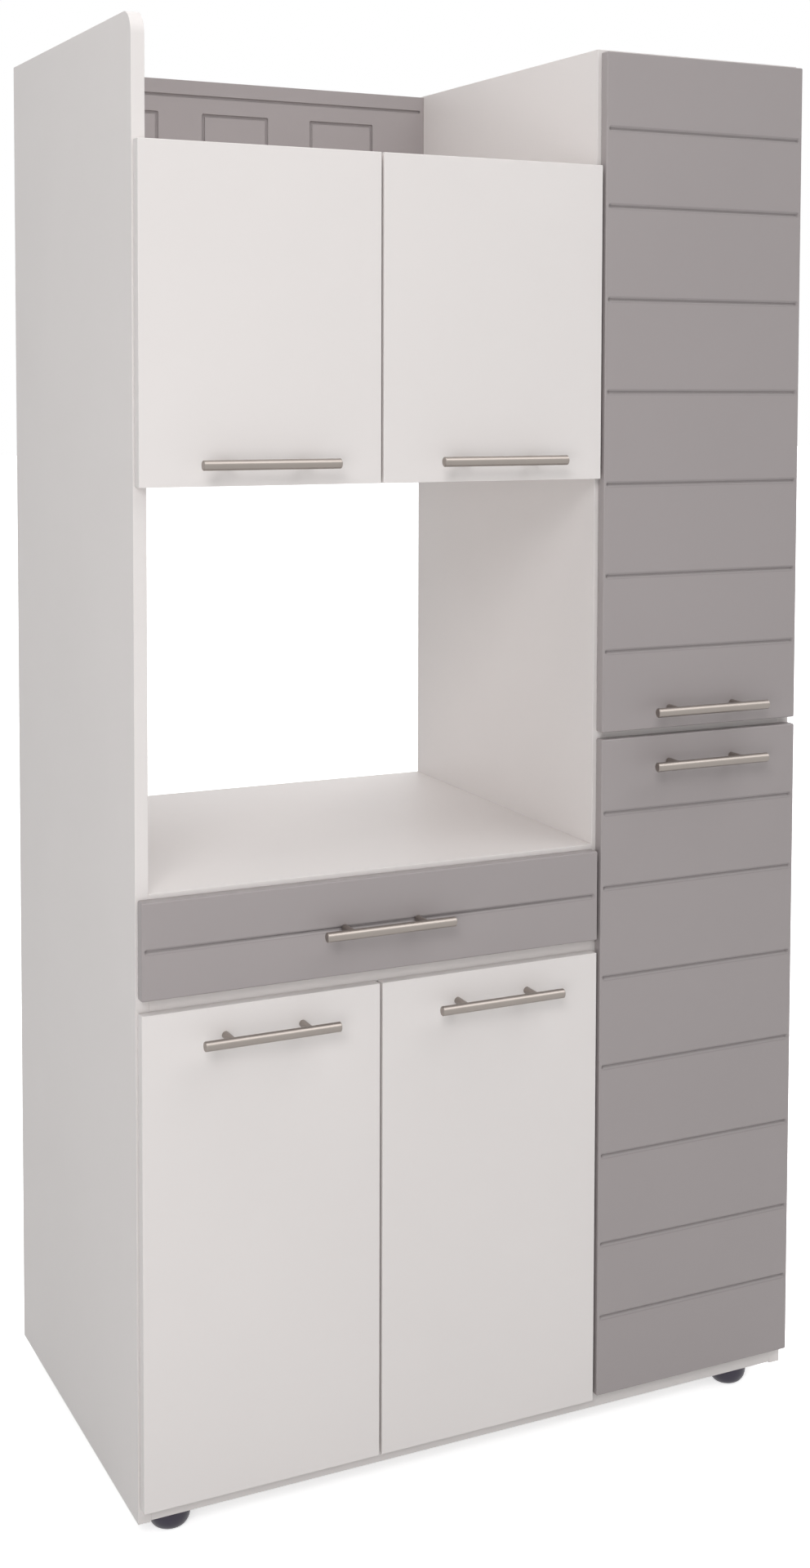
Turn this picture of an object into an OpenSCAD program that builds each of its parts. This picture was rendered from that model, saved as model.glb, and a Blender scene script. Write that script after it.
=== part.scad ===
// Microwave cabinet: tall melamine unit with an open microwave niche, a drawer,
// two pairs of white doors and a column behind two grooved grey doors.
// Built from the left panel's outer face (x), the carcass front edges (y) and the
// floor (z), then moved so that the origin is the floor point below the middle.

/* [Carcass] */
// Overall width of the cabinet
cab_w = 900; // [860:10:1000]
// Depth of the side panels
cab_d = 550; // [510:10:600]
// Distance from the left outer face to the divider's left face
bay_w = 600; // [560:5:640]
// Thickness of the melamine boards
board_t = 16; // [15:1:18]
// Thickness of the base panel
base_t = 25; // [22:1:28]
// How far the side panels reach below the base panel
side_drop = 2; // [1:1:6]
// Radius of the left panel's front top corner
corner_r = 28; // [10:2:40]
// Thickness of the back sheets
sheet_t = 3; // [2:1:4]

/* [Levels] */
// Height of the lower white doors
lower_door_h = 591; // [560:1:640]
// Height of the drawer front
drawer_front_h = 115.5; // [112:0.5:140]
// Clear height of the microwave niche
niche_h = 473.5; // [400:0.5:520]
// Height of the upper white doors
upper_door_h = 394; // [360:1:440]
// Height of the open gallery above the upper doors
gallery_h = 148; // [100:1:200]

/* [Doors] */
// Thickness of doors and drawer front
door_t = 16; // [16:1:19]
// Gap between the carcass front and the closed doors
door_gap = 1.5; // [1.5:0.1:3]
// Reveal of the left panel's edge beside the white doors
left_reveal = 2; // [1:0.5:4]
// Reveal of the right panel's edge beside the grey doors
right_reveal = 1; // [1:0.5:3]
// Set-back of the white doors from the divider's left face
divider_reveal = 1; // [1:0.5:3]
// Divider edge left bare beside the grey doors
column_reveal = 4; // [3:0.5:6]
// Seam between the two doors of a white pair
pair_seam = 3; // [2:0.5:5]
// Overlap of the white lower doors on the base panel
white_base_overlap = 7; // [3:0.5:10]
// Overlap of the grey doors on the base panel
grey_base_overlap = 2; // [1:0.5:8]
// Overlap of the doors on the horizontal boards
door_overlap = 2; // [1:0.5:5]
// Gap below the drawer front, above the drawer shelf
drawer_gap = 2.5; // [2:0.5:4]
// Deck edge left bare above the drawer front
deck_reveal = 5.5; // [2:0.5:8]
// Panel edge left bare above the grey doors
column_top_reveal = 4; // [2:0.5:10]
// Gap between the two grey doors
column_gap = 9; // [3:0.5:12]

/* [Routed ornament] */
// Width of the V grooves in the grey doors and the drawer front
groove_w = 8; // [4:0.5:9]
// Width of the V grooves at their root
groove_root = 1; // [1:0.5:3]
// Depth of the routed grooves
groove_depth = 3.5; // [1:0.5:4]
// Distance of the V grooves' ends from the edges of the doors and the drawer front
groove_end = 3; // [2.5:0.5:20]
// Width of the grooves in the back board
line_w = 4.5; // [3:0.5:7]
// Distance of the long groove's ends from the back board's edges
line_end = 6; // [4:1:40]
// Board's edge to the first groove of a grey door
plank_first = 95.5; // [80:0.5:110]
// Spacing of the narrow planks on a grey door
plank_narrow = 97; // [80:1:105]
// Spacing of the wide planks on a grey door
plank_wide = 117; // [105:1:125]
// Side of the squares routed in the back board
square_side = 98; // [80:1:110]
// Spacing of the squares
square_pitch = 161; // [140:1:180]
// Number of square columns
square_cols = 3; // [1:1:3]
// Number of square rows
square_rows = 3; // [1:1:3]
// Back board's top edge to the first row of squares
square_top = 45; // [35:1:60]
// Back board's top edge to the long groove
line_top = 22; // [14:1:28]
// Gap between the side panels' tops and the back board's top
back_board_drop = 2; // [0:1:10]

/* [Handles] */
// Length of the handle bars
bar_len = 168; // [130:2:200]
// Diameter of the handle bars
bar_d = 12; // [10:1:14]
// Distance between the two posts
post_pitch = 96; // [64:32:96]
// Diameter of the posts
post_d = 9; // [8:0.5:10]
// Distance from the door's face to the bar's axis
bar_out = 32; // [26:1:40]
// Handle height above the bottom edge of an upper door
handle_low = 26; // [22:1:60]
// Handle distance below the top edge of a lower door
handle_high = 35; // [22:1:60]

/* [Hinges] */
// Distance of the hinges from the door ends
hinge_in = 80; // [70:5:110]
// Cup centre to the door's hinged edge
cup_in = 22.5; // [22:0.5:24]
// Diameter of the hinge cup bore
cup_d = 35; // [35:1:35]
// Depth of the hinge cup bore
cup_depth = 11.5; // [11:0.5:12]

/* [Shelves] */
// Height of the lower cupboard's shelf above the base panel
lower_shelf_up = 285; // [200:5:400]
// Height of the first adjustable shelf above the board below it
column_shelf_up = 275; // [220:5:290]
// Spacing of the adjustable shelves in the column
column_shelf_pitch = 290; // [250:5:300]
// Set-back of the shelves from the carcass front
shelf_back = 25; // [20:1:60]
// Diameter of the shelf pins
pin_d = 5; // [4:1:6]

/* [Drawer] */
// Thickness of the drawer box boards
drawer_t = 12; // [12:1:15]
// Height of the drawer box sides
drawer_side_h = 80; // [70:1:86]
// Length of the runners and of the drawer box
runner_len = 450; // [400:50:450]
// Space for a runner beside the drawer box
runner_w = 13; // [13:0.5:14]
// Height of the runners
runner_h = 45; // [40:1:46]
// Sheet thickness of the runners
runner_t = 1.2; // [1:0.1:1.3]
// Thickness of the drawer bottom
drawer_bottom_t = 3; // [3:1:4]

/* [Feet] */
// Height of the feet below the base panel
foot_h = 25; // [20:1:40]
// Diameter of the feet
foot_d = 50; // [40:1:56]
// Foot centre to the carcass front
foot_front = 30; // [30:1:60]
// Foot centre to the carcass back
foot_rear = 45; // [35:1:80]
// Left foot centre to the left panel's outer face
foot_left = 47; // [46:1:80]
// Right foot centre to the right panel's outer face
foot_right = 65; // [46:1:90]

/* [Hidden] */
$fn = 48;
fit = 0.05;
cut = 1;
moving_gap = 0.6;

// levels above the floor
side_z0 = foot_h - side_drop;
base_z0 = foot_h;
base_z1 = base_z0 + base_t;
lower_z0 = base_z1 - white_base_overlap;
lower_z1 = lower_z0 + lower_door_h;
drawer_shelf_z0 = lower_z1 - door_overlap;
drawer_shelf_z1 = drawer_shelf_z0 + board_t;
drawer_z0 = drawer_shelf_z1 + drawer_gap;
drawer_z1 = drawer_z0 + drawer_front_h;
deck_z1 = drawer_z1 + deck_reveal;
deck_z0 = deck_z1 - board_t;
upper_bottom_z0 = deck_z1 + niche_h;
upper_bottom_z1 = upper_bottom_z0 + board_t;
upper_z0 = upper_bottom_z0 - door_overlap;
upper_z1 = upper_z0 + upper_door_h;
upper_top_z1 = upper_z1 - door_overlap;
upper_top_z0 = upper_top_z1 - board_t;
top_z = upper_top_z1 + gallery_h;
column_top_z0 = top_z - board_t;
column_z0 = base_z1 - grey_base_overlap;
column_z1 = top_z - column_top_reveal;
column_door_h = (column_z1 - column_z0 - column_gap) / 2;
column_mid = (column_z0 + column_z1) / 2;
mid_shelf_z0 = column_mid - board_t / 2;
mid_shelf_z1 = column_mid + board_t / 2;

// places across the width
left_in = board_t;
divider_x0 = bay_w;
divider_x1 = bay_w + board_t;
right_in = cab_w - board_t;
white_x0 = left_reveal;
white_x1 = bay_w - divider_reveal;
white_mid = (white_x0 + white_x1) / 2;
grey_x0 = bay_w + column_reveal;
grey_x1 = cab_w - right_reveal;

// places along the depth
door_back = -door_gap;
door_face = -door_gap - door_t;
bar_y = door_face - bar_out;
front_reach = door_gap + door_t + bar_out + bar_d / 2;
back_board_y0 = cab_d - board_t;
back_y = cab_d + sheet_t;

// joining hardware
bolt_r = 3.5;
bolt_side = 10;
cam_r = 7.5;
cam_depth = 12.5;
cam_in = 34;
bolt_front = 60;
bolt_rear = 70;
dowel_r = 4;
dowel_len = 22;
dowel_side = 10;
screw_r = 1.75;
screw_len = 12;
screw_head_r = 3.5;
screw_head_h = 1.2;
back_reach = back_y + screw_head_h;
adjust_r = 3;

// feet: width of the rounded flank, height of the upright rim, web under the screw head
foot_flank = 11;
foot_rim = 8;
foot_web = 4;

// hinge hardware, measured from the door's hinged edge
cup_wall = 1;
flange_t = 1;
flange_r = 19;
flange_half = 28;
flange_tab = 12;
cup_screw_side = 9.5;
cup_screw_x = cup_in + cup_screw_side;
cup_screw_half = 22.5;
tip_in = 19;
tip_w = 7;
tip_seat = 0.3;
tip_reach = door_gap + cup_depth - cup_wall - tip_seat;
arm_h = 12;
arm_back = 62;
arm_step = 10;
arm_rise = 8;
plate_t = 2.5;
plate_y0 = 24;
plate_y1 = 60;
plate_h = 14;
wing_y0 = 31;
wing_y1 = 43;
wing_y = (wing_y0 + wing_y1) / 2;
wing_half = 25;
wing_screw = 16;

// shelves and pins
shelf_play = 1;
shelf_rear = 12;
pin_in = 8;
pin_front = 60;
pin_rear = 60;
pin_tab = 8;
pin_tab_t = 3;

// drawer
box_x0 = left_in + runner_w;
box_x1 = divider_x0 - runner_w;
box_z0 = (drawer_shelf_z1 + deck_z0) / 2 - drawer_side_h / 2;
box_z1 = box_z0 + drawer_side_h;
box_y1 = door_back + runner_len;
bottom_groove = 6;
bottom_z0 = box_z0 + 10;
bottom_z1 = bottom_z0 + drawer_bottom_t;
groove_play = 0.2;
runner_y0 = 3;
runner_z = (box_z0 + box_z1) / 2;
runner_screw_in = 40;
cabinet_flange = 8;
middle_flange = 6;
middle_step = runner_t + screw_head_h + moving_gap;
drawer_flange = runner_w - middle_step - runner_t - moving_gap;
handle_screw_r = 2;
handle_screw_head_r = 4;
handle_screw_head_h = 2.2;
handle_screw_in = 12;
spigot_r = 3;
spigot_in = 4;
joint_low = 18;
joint_high = 14;
side_dowel_zs = [bottom_z1 + joint_low, box_z1 - joint_high];
back_screw_zs = [bottom_z1 + joint_low, box_z1 - joint_high];
back_screw_grip = 25;
back_screw_y = box_y1 - drawer_t / 2;
runner_screw_ys = [runner_y0 + runner_screw_in, runner_y0 + runner_len - runner_screw_in];
drawer_screw_ys = [runner_y0 + runner_screw_in, runner_y0 + runner_len - 2 * runner_screw_in];

// upper ends of the pattern of doors: x0, x1, z0, z1, hinge side, handle height
UL = [white_x0, white_mid - pair_seam / 2, upper_z0, upper_z1, 1, upper_z0 + handle_low];
UR = [white_mid + pair_seam / 2, white_x1, upper_z0, upper_z1, -1, upper_z0 + handle_low];
LL = [white_x0, white_mid - pair_seam / 2, lower_z0, lower_z1, 1, lower_z1 - handle_high];
LR = [white_mid + pair_seam / 2, white_x1, lower_z0, lower_z1, -1, lower_z1 - handle_high];
CU = [grey_x0, grey_x1, column_z1 - column_door_h, column_z1, -1, column_z1 - column_door_h + handle_low];
CL = [grey_x0, grey_x1, column_z0, column_z0 + column_door_h, -1, column_z0 + column_door_h - handle_high];
DR = [white_x0, white_x1, drawer_z0, drawer_z1, 0, (drawer_z0 + drawer_z1) / 2];
doors = [UL, UR, LL, LR, CU, CL];

function middle_x(d) = (d[0] + d[1]) / 2;
function post_x(d) = [middle_x(d) - post_pitch / 2, middle_x(d) + post_pitch / 2];
function hinge_z(d) = [d[2] + hinge_in, d[3] - hinge_in];
function hinge_edge(d) = d[4] > 0 ? d[0] : d[1];
// distance from a door's hinged edge to the face that carries its hinges
function overlay(d) = d[4] > 0 ? left_in - d[0] : d[0] >= bay_w ? d[1] - right_in : d[1] - divider_x0;

// boards that cams pull against the uprights: z of the board's middle, its underside
bay_boards = [
    [drawer_shelf_z0, board_t], [deck_z0, board_t],
    [upper_bottom_z0, board_t], [upper_top_z0, board_t]];
column_boards = [[mid_shelf_z0, board_t], [column_top_z0, board_t]];
base_board = [[base_z0, base_t]];
bolt_ys = [bolt_front, cab_d - bolt_rear];
column_bolt_in = 40;
column_bolt_ys = [bolt_front + column_bolt_in, cab_d - bolt_rear - column_bolt_in];
dowel_end = 60;
dowel_zs = [upper_bottom_z1 + dowel_end, top_z - dowel_end];
divider_dowel_end = 90;
divider_dowel_ys = [divider_dowel_end, cab_d / 2, cab_d - divider_dowel_end];
back_dowel_y = back_board_y0 + board_t / 2;

// adjustable shelves
column_shelf_zs = [
    base_z1 + column_shelf_up, base_z1 + column_shelf_up + column_shelf_pitch,
    mid_shelf_z1 + column_shelf_up, mid_shelf_z1 + column_shelf_up + column_shelf_pitch];
lower_shelf_z = base_z1 + lower_shelf_up;
pin_ys = [pin_front, cab_d - pin_rear];

// screws of the back sheets
sheet_screw_in = 8;
sheet_seam = 0.5;
sheet_edge = 1;
sheet_screw_end = 60;
lower_sheet_x1 = divider_x0 + (board_t - sheet_seam) / 2;
column_sheet_x0 = divider_x0 + (board_t + sheet_seam) / 2;
sheet_screw_zs = [
    base_z1 + sheet_screw_end, (base_z1 + deck_z0) / 2, deck_z0 - sheet_screw_end];
column_screws = 6;
column_screw_step = (column_top_z0 - base_z1 - 2 * sheet_screw_end) / (column_screws - 1);
column_screw_zs = [
    for (i = [0 : column_screws - 1]) base_z1 + sheet_screw_end + i * column_screw_step];

WHITE = [0.89, 0.87, 0.86];
GREY = [0.60, 0.585, 0.575];
STEEL = [0.72, 0.71, 0.69];
BLACK = [0.10, 0.09, 0.12];
TIMBER = [0.80, 0.68, 0.50];

// ---- shared shapes ----

module in_frame() {
    translate([-cab_w / 2, (front_reach - back_reach) / 2, 0]) children();
}

module board(x0, x1, y0, y1, z0, z1) {
    translate([x0, y0, z0]) cube([x1 - x0, y1 - y0, z1 - z0]);
}

module rod_x(x0, x1, y, z, r) {
    translate([x0, y, z]) rotate([0, 90, 0]) cylinder(h = x1 - x0, r = r);
}

// rod and board that span a to b, measured from the face at x along way (1 or -1)
module rod_from(x, way, a, b, y, z, r) {
    rod_x(min(x + way * a, x + way * b), max(x + way * a, x + way * b), y, z, r);
}

module board_from(x, way, a, b, y0, y1, z0, z1) {
    board(min(x + way * a, x + way * b), max(x + way * a, x + way * b), y0, y1, z0, z1);
}

module rod_y(x, y0, y1, z, r) {
    translate([x, y0, z]) rotate([-90, 0, 0]) cylinder(h = y1 - y0, r = r);
}

module rod_z(x, y, z0, z1, r) {
    translate([x, y, z0]) cylinder(h = z1 - z0, r = r);
}

// a stopped V groove along x in a face that looks along -Y, with the bit's cone at each end
module v_groove(x0, x1, z, face) {
    mouth = groove_w / 2;
    root = groove_root / 2;
    lead = mouth + cut * (mouth - root) / groove_depth;
    translate([x0 + mouth, face, z]) rotate([90, 0, 90]) linear_extrude(height = x1 - x0 - groove_w) {
        polygon([[-cut, -lead], [groove_depth, -root], [groove_depth, root], [-cut, lead]]);
    }
    for (x = [x0 + mouth, x1 - mouth]) {
        translate([x, face - cut, z]) rotate([-90, 0, 0])
            cylinder(h = cut + groove_depth, r1 = lead, r2 = root);
    }
}

// a round-ended line cut into a face that looks along -Y, along x or z
module line_x(x0, x1, z, face) {
    r = line_w / 2;
    board(x0 + r, x1 - r, face - cut, face + groove_depth, z - r, z + r);
    rod_y(x0 + r, face - cut, face + groove_depth, z, r);
    rod_y(x1 - r, face - cut, face + groove_depth, z, r);
}

module line_z(x, z0, z1, face) {
    r = line_w / 2;
    board(x - r, x + r, face - cut, face + groove_depth, z0 + r, z1 - r);
    rod_y(x, face - cut, face + groove_depth, z0 + r, r);
    rod_y(x, face - cut, face + groove_depth, z1 - r, r);
}

// bolts that run from an upright's face at x into the boards that meet it
module bolts(x, way, boards, ys, r, extra) {
    for (b = boards, y = ys) {
        rod_from(x, way, -bolt_side - extra, cam_in - cam_r - fit + extra, y, b[0] + b[1] / 2, r);
    }
}

module cams(x, way, boards, ys, r, extra) {
    for (b = boards, y = ys) {
        rod_z(x + way * cam_in, y, b[0] - extra, b[0] + cam_depth, r);
    }
}

module back_dowels(x, way, r, extra) {
    for (z = dowel_zs) {
        rod_from(x, way, -dowel_side - extra, dowel_len - dowel_side + extra, back_dowel_y, z, r);
    }
}

module divider_dowels(r, extra) {
    for (y = divider_dowel_ys) {
        rod_z(divider_x0 + board_t / 2, y, base_z1 - dowel_side - extra,
              base_z1 + dowel_len - dowel_side + extra, r);
    }
}

// pins that carry a shelf between two faces
module pin_bores(x, way, zs) {
    for (z = zs, y = pin_ys) {
        rod_from(x, way, -pin_in - fit, cut, y, z - pin_tab_t - pin_d / 2, pin_d / 2 + fit);
    }
}

module pins(x, way, zs) {
    for (z = zs, y = pin_ys) {
        rod_from(x, way, -pin_in, pin_tab, y, z - pin_tab_t - pin_d / 2, pin_d / 2);
        board_from(x, way, 0, pin_tab, y - pin_d / 2, y + pin_d / 2, z - pin_tab_t - pin_d / 2, z);
    }
}

// screw holes of the hinge plates and the runners in a face at x
module plate_bores(x, way, list) {
    for (d = list, z = hinge_z(d), s = [-1, 1]) {
        screw_hole(x, way, wing_y, z + s * wing_screw);
    }
}

module runner_bores(x, way) {
    for (y = runner_screw_ys) {
        screw_hole(x, way, y, runner_z);
    }
}

module screw_hole(x, way, y, z) {
    rod_from(x, way, -screw_len - fit, cut, y, z, screw_r + fit);
}

// a screw that goes len below its seat, which lies seat in front of the face at x
module screw_in(x, way, y, z, seat, len) {
    rod_from(x, way, seat - len, seat, y, z, screw_r);
    rod_from(x, way, seat, seat + screw_head_h, y, z, screw_head_r);
}

module sheet_bores(x, zs, depth) {
    for (z = zs) {
        rod_y(x, cab_d - depth, back_y + cut, z, screw_r + fit);
    }
}

// ---- carcass ----

module left_side_panel() {
    color(WHITE) in_frame() difference() {
        translate([left_in, 0, 0]) rotate([0, -90, 0]) linear_extrude(height = board_t) {
            translate([side_z0, 0]) square([top_z - corner_r - side_z0, cab_d]);
            translate([side_z0, corner_r]) square([top_z - side_z0, cab_d - corner_r]);
            translate([top_z - corner_r, corner_r]) circle(r = corner_r, $fn = 96);
        }
        bolts(left_in, 1, base_board, bolt_ys, bolt_r + fit, fit);
        bolts(left_in, 1, bay_boards, bolt_ys, bolt_r + fit, fit);
        back_dowels(left_in, 1, dowel_r + fit, fit);
        pin_bores(left_in, 1, [lower_shelf_z]);
        plate_bores(left_in, 1, [UL, LL]);
        runner_bores(left_in, 1);
        sheet_bores(sheet_screw_in, sheet_screw_zs, screw_len);
    }
}

module divider_panel() {
    color(WHITE) in_frame() difference() {
        board(divider_x0, divider_x1, 0, cab_d, base_z1, top_z);
        bolts(divider_x0, -1, bay_boards, bolt_ys, bolt_r + fit, fit);
        bolts(divider_x1, 1, column_boards, column_bolt_ys, bolt_r + fit, fit);
        back_dowels(divider_x0, -1, dowel_r + fit, fit);
        divider_dowels(dowel_r + fit, fit);
        pin_bores(divider_x0, -1, [lower_shelf_z]);
        pin_bores(divider_x1, 1, column_shelf_zs);
        plate_bores(divider_x0, -1, [UR, LR]);
        runner_bores(divider_x0, -1);
    }
}

module right_side_panel() {
    color(WHITE) in_frame() difference() {
        board(right_in, cab_w, 0, cab_d, side_z0, top_z);
        bolts(right_in, -1, base_board, bolt_ys, bolt_r + fit, fit);
        bolts(right_in, -1, column_boards, column_bolt_ys, bolt_r + fit, fit);
        pin_bores(right_in, -1, column_shelf_zs);
        plate_bores(right_in, -1, [CU, CL]);
        sheet_bores(cab_w - sheet_screw_in, column_screw_zs, screw_len);
    }
}

module base_panel() {
    color(WHITE) in_frame() difference() {
        board(left_in, right_in, 0, cab_d, base_z0, base_z1);
        bolts(left_in, 1, base_board, bolt_ys, bolt_r + fit, fit);
        bolts(right_in, -1, base_board, bolt_ys, bolt_r + fit, fit);
        cams(left_in, 1, base_board, bolt_ys, cam_r + fit, cut);
        cams(right_in, -1, base_board, bolt_ys, cam_r + fit, cut);
        divider_dowels(dowel_r + fit, fit);
        foot_places() rod_z(0, 0, base_z0 - cut, base_z0 + screw_len + fit, screw_r + fit);
    }
}

// a board of the left bay between the left panel and the divider
module bay_board(z0, y1) {
    b = [[z0, board_t]];
    color(WHITE) in_frame() difference() {
        board(left_in, divider_x0, 0, y1, z0, z0 + board_t);
        bolts(left_in, 1, b, bolt_ys, bolt_r + fit, fit);
        bolts(divider_x0, -1, b, bolt_ys, bolt_r + fit, fit);
        cams(left_in, 1, b, bolt_ys, cam_r + fit, cut);
        cams(divider_x0, -1, b, bolt_ys, cam_r + fit, cut);
    }
}

module drawer_shelf() {
    bay_board(drawer_shelf_z0, cab_d);
}

module microwave_deck() {
    bay_board(deck_z0, cab_d);
}

module upper_cabinet_bottom() {
    bay_board(upper_bottom_z0, back_board_y0);
}

module upper_cabinet_top() {
    bay_board(upper_top_z0, back_board_y0);
}

// grey back board with a long routed line and rows of routed squares
module gallery_back_board() {
    board_top = top_z - back_board_drop;
    bay_mid = (left_in + divider_x0) / 2;
    color(GREY) in_frame() difference() {
        board(left_in, divider_x0, back_board_y0, cab_d, upper_bottom_z0, board_top);
        line_x(left_in + line_end, divider_x0 - line_end, board_top - line_top, back_board_y0);
        for (i = [0 : square_cols - 1], j = [0 : square_rows - 1]) {
            x = bay_mid + (i - (square_cols - 1) / 2) * square_pitch;
            z = board_top - square_top - square_side / 2 - j * square_pitch;
            routed_square(x, z);
        }
        back_dowels(left_in, 1, dowel_r + fit, fit);
        back_dowels(divider_x0, -1, dowel_r + fit, fit);
    }
}

module routed_square(x, z) {
    h = square_side / 2;
    r = line_w / 2;
    for (s = [-1, 1]) {
        line_x(x - h, x + h, z + s * (h - r), back_board_y0);
        line_z(x + s * (h - r), z - h, z + h, back_board_y0);
    }
}

// a board of the column between the divider and the right panel
module column_board(z0) {
    b = [[z0, board_t]];
    color(WHITE) in_frame() difference() {
        board(divider_x1, right_in, 0, cab_d, z0, z0 + board_t);
        bolts(divider_x1, 1, b, column_bolt_ys, bolt_r + fit, fit);
        bolts(right_in, -1, b, column_bolt_ys, bolt_r + fit, fit);
        cams(divider_x1, 1, b, column_bolt_ys, cam_r + fit, cut);
        cams(right_in, -1, b, column_bolt_ys, cam_r + fit, cut);
    }
}

module column_top_panel() {
    column_board(column_top_z0);
}

module column_fixed_shelf() {
    column_board(mid_shelf_z0);
}

module lower_cabinet_shelf() {
    color(WHITE) in_frame() board(left_in + shelf_play, divider_x0 - shelf_play,
        shelf_back, cab_d - shelf_rear, lower_shelf_z, lower_shelf_z + board_t);
}

module column_shelf(i) {
    z = column_shelf_zs[i];
    color(WHITE) in_frame() board(divider_x1 + shelf_play, right_in - shelf_play,
        shelf_back, cab_d - shelf_rear, z, z + board_t);
}

module shelf_pins() {
    color(STEEL) in_frame() {
        pins(left_in, 1, [lower_shelf_z]);
        pins(divider_x0, -1, [lower_shelf_z]);
        pins(divider_x1, 1, column_shelf_zs);
        pins(right_in, -1, column_shelf_zs);
    }
}

module lower_back_sheet() {
    color(WHITE) in_frame() difference() {
        board(sheet_edge, lower_sheet_x1, cab_d, back_y, base_z0 + sheet_edge, deck_z1 - sheet_edge);
        sheet_bores(sheet_screw_in, sheet_screw_zs, 0);
    }
}

module column_back_sheet() {
    color(WHITE) in_frame() difference() {
        board(column_sheet_x0, cab_w - sheet_edge, cab_d, back_y, base_z0 + sheet_edge, top_z - sheet_edge);
        sheet_bores(cab_w - sheet_screw_in, column_screw_zs, 0);
    }
}

// ---- joining hardware ----

module cam_locks() {
    color(STEEL) in_frame() {
        cams(left_in, 1, base_board, bolt_ys, cam_r, 0);
        cams(right_in, -1, base_board, bolt_ys, cam_r, 0);
        cams(left_in, 1, bay_boards, bolt_ys, cam_r, 0);
        cams(divider_x0, -1, bay_boards, bolt_ys, cam_r, 0);
        cams(divider_x1, 1, column_boards, column_bolt_ys, cam_r, 0);
        cams(right_in, -1, column_boards, column_bolt_ys, cam_r, 0);
    }
}

module connecting_bolts() {
    color(STEEL) in_frame() {
        bolts(left_in, 1, base_board, bolt_ys, bolt_r, 0);
        bolts(right_in, -1, base_board, bolt_ys, bolt_r, 0);
        bolts(left_in, 1, bay_boards, bolt_ys, bolt_r, 0);
        bolts(divider_x0, -1, bay_boards, bolt_ys, bolt_r, 0);
        bolts(divider_x1, 1, column_boards, column_bolt_ys, bolt_r, 0);
        bolts(right_in, -1, column_boards, column_bolt_ys, bolt_r, 0);
    }
}

module wood_dowels() {
    color(TIMBER) in_frame() {
        back_dowels(left_in, 1, dowel_r, 0);
        back_dowels(divider_x0, -1, dowel_r, 0);
        divider_dowels(dowel_r, 0);
    }
}

module foot_places() {
    for (x = [foot_left, cab_w - foot_right], y = [foot_front, cab_d - foot_rear]) {
        translate([x, y, 0]) children();
    }
}

// bowl-shaped foot: a flat tread, a quarter-ellipse flank and a short upright rim
module feet() {
    tread = foot_d / 2 - foot_flank;
    profile = concat([[0, 0]],
        [for (a = [0 : 10 : 90]) [tread + foot_flank * sin(a), (foot_h - foot_rim) * (1 - cos(a))]],
        [[foot_d / 2, foot_h], [0, foot_h]]);
    color(BLACK) in_frame() foot_places() difference() {
        rotate_extrude($fn = 96) polygon(profile);
        rod_z(0, 0, -cut, foot_h - foot_web, screw_head_r + fit);
        rod_z(0, 0, -cut, foot_h + cut, screw_r + fit);
    }
}

// ---- hinges ----

// places children at each hinge of a door, u running in from the hinged edge along +X
module at_hinges(d) {
    for (z = hinge_z(d)) {
        translate([hinge_edge(d), 0, z]) mirror([d[4] > 0 ? 0 : 1, 0, 0]) children();
    }
}

// arm with its mounting plate: o is the distance from the door's edge to the upright's face
module hinge_arm(o) {
    arm_u0 = o + plate_t;
    difference() {
        translate([0, 0, -arm_h / 2]) linear_extrude(height = arm_h) {
            translate([arm_u0, arm_rise]) square([arm_step, arm_back - arm_rise]);
            translate([min(arm_u0, tip_in), arm_rise])
                square([max(arm_u0 + arm_step, tip_in + tip_w) - min(arm_u0, tip_in), arm_step]);
            translate([tip_in, -tip_reach]) square([tip_w, tip_reach + arm_rise + cut]);
        }
        rod_x(o, arm_u0 + arm_step + cut, wing_y, 0, adjust_r);
    }
}

module hinge_plate(o) {
    difference() {
        union() {
            board(o, o + plate_t, plate_y0, plate_y1, -plate_h / 2, plate_h / 2);
            board(o, o + plate_t, wing_y0, wing_y1, -wing_half, wing_half);
        }
        for (s = [-1, 1]) {
            rod_x(o - cut, o + plate_t + cut, wing_y, s * wing_screw, screw_r + fit);
        }
    }
}

module hinge_arms() {
    color(STEEL) in_frame() for (d = doors) {
        at_hinges(d) {
            hinge_arm(overlay(d));
            hinge_plate(overlay(d));
        }
    }
}

module carcass_screws() {
    faces = [[left_in, 1, [UL, LL]], [divider_x0, -1, [UR, LR]], [right_in, -1, [CU, CL]]];
    color(STEEL) in_frame() {
        for (f = faces, d = f[2], z = hinge_z(d), s = [-1, 1]) {
            screw_in(f[0], f[1], wing_y, z + s * wing_screw, plate_t, plate_t + screw_len);
        }
        for (f = [[left_in, 1], [divider_x0, -1]], y = runner_screw_ys) {
            screw_in(f[0], f[1], y, runner_z, runner_t, runner_t + screw_len);
        }
        for (z = sheet_screw_zs) back_screw(sheet_screw_in, z);
        for (z = column_screw_zs) back_screw(cab_w - sheet_screw_in, z);
        foot_places() {
            rod_z(0, 0, foot_h - foot_web - screw_head_h, foot_h - foot_web, screw_head_r - fit);
            rod_z(0, 0, foot_h - foot_web, base_z0 + screw_len, screw_r);
        }
    }
}

module back_screw(x, z) {
    rod_y(x, cab_d - screw_len + cut, back_y, z, screw_r);
    rod_y(x, back_y, back_y + screw_head_h, z, screw_head_r);
}

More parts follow.
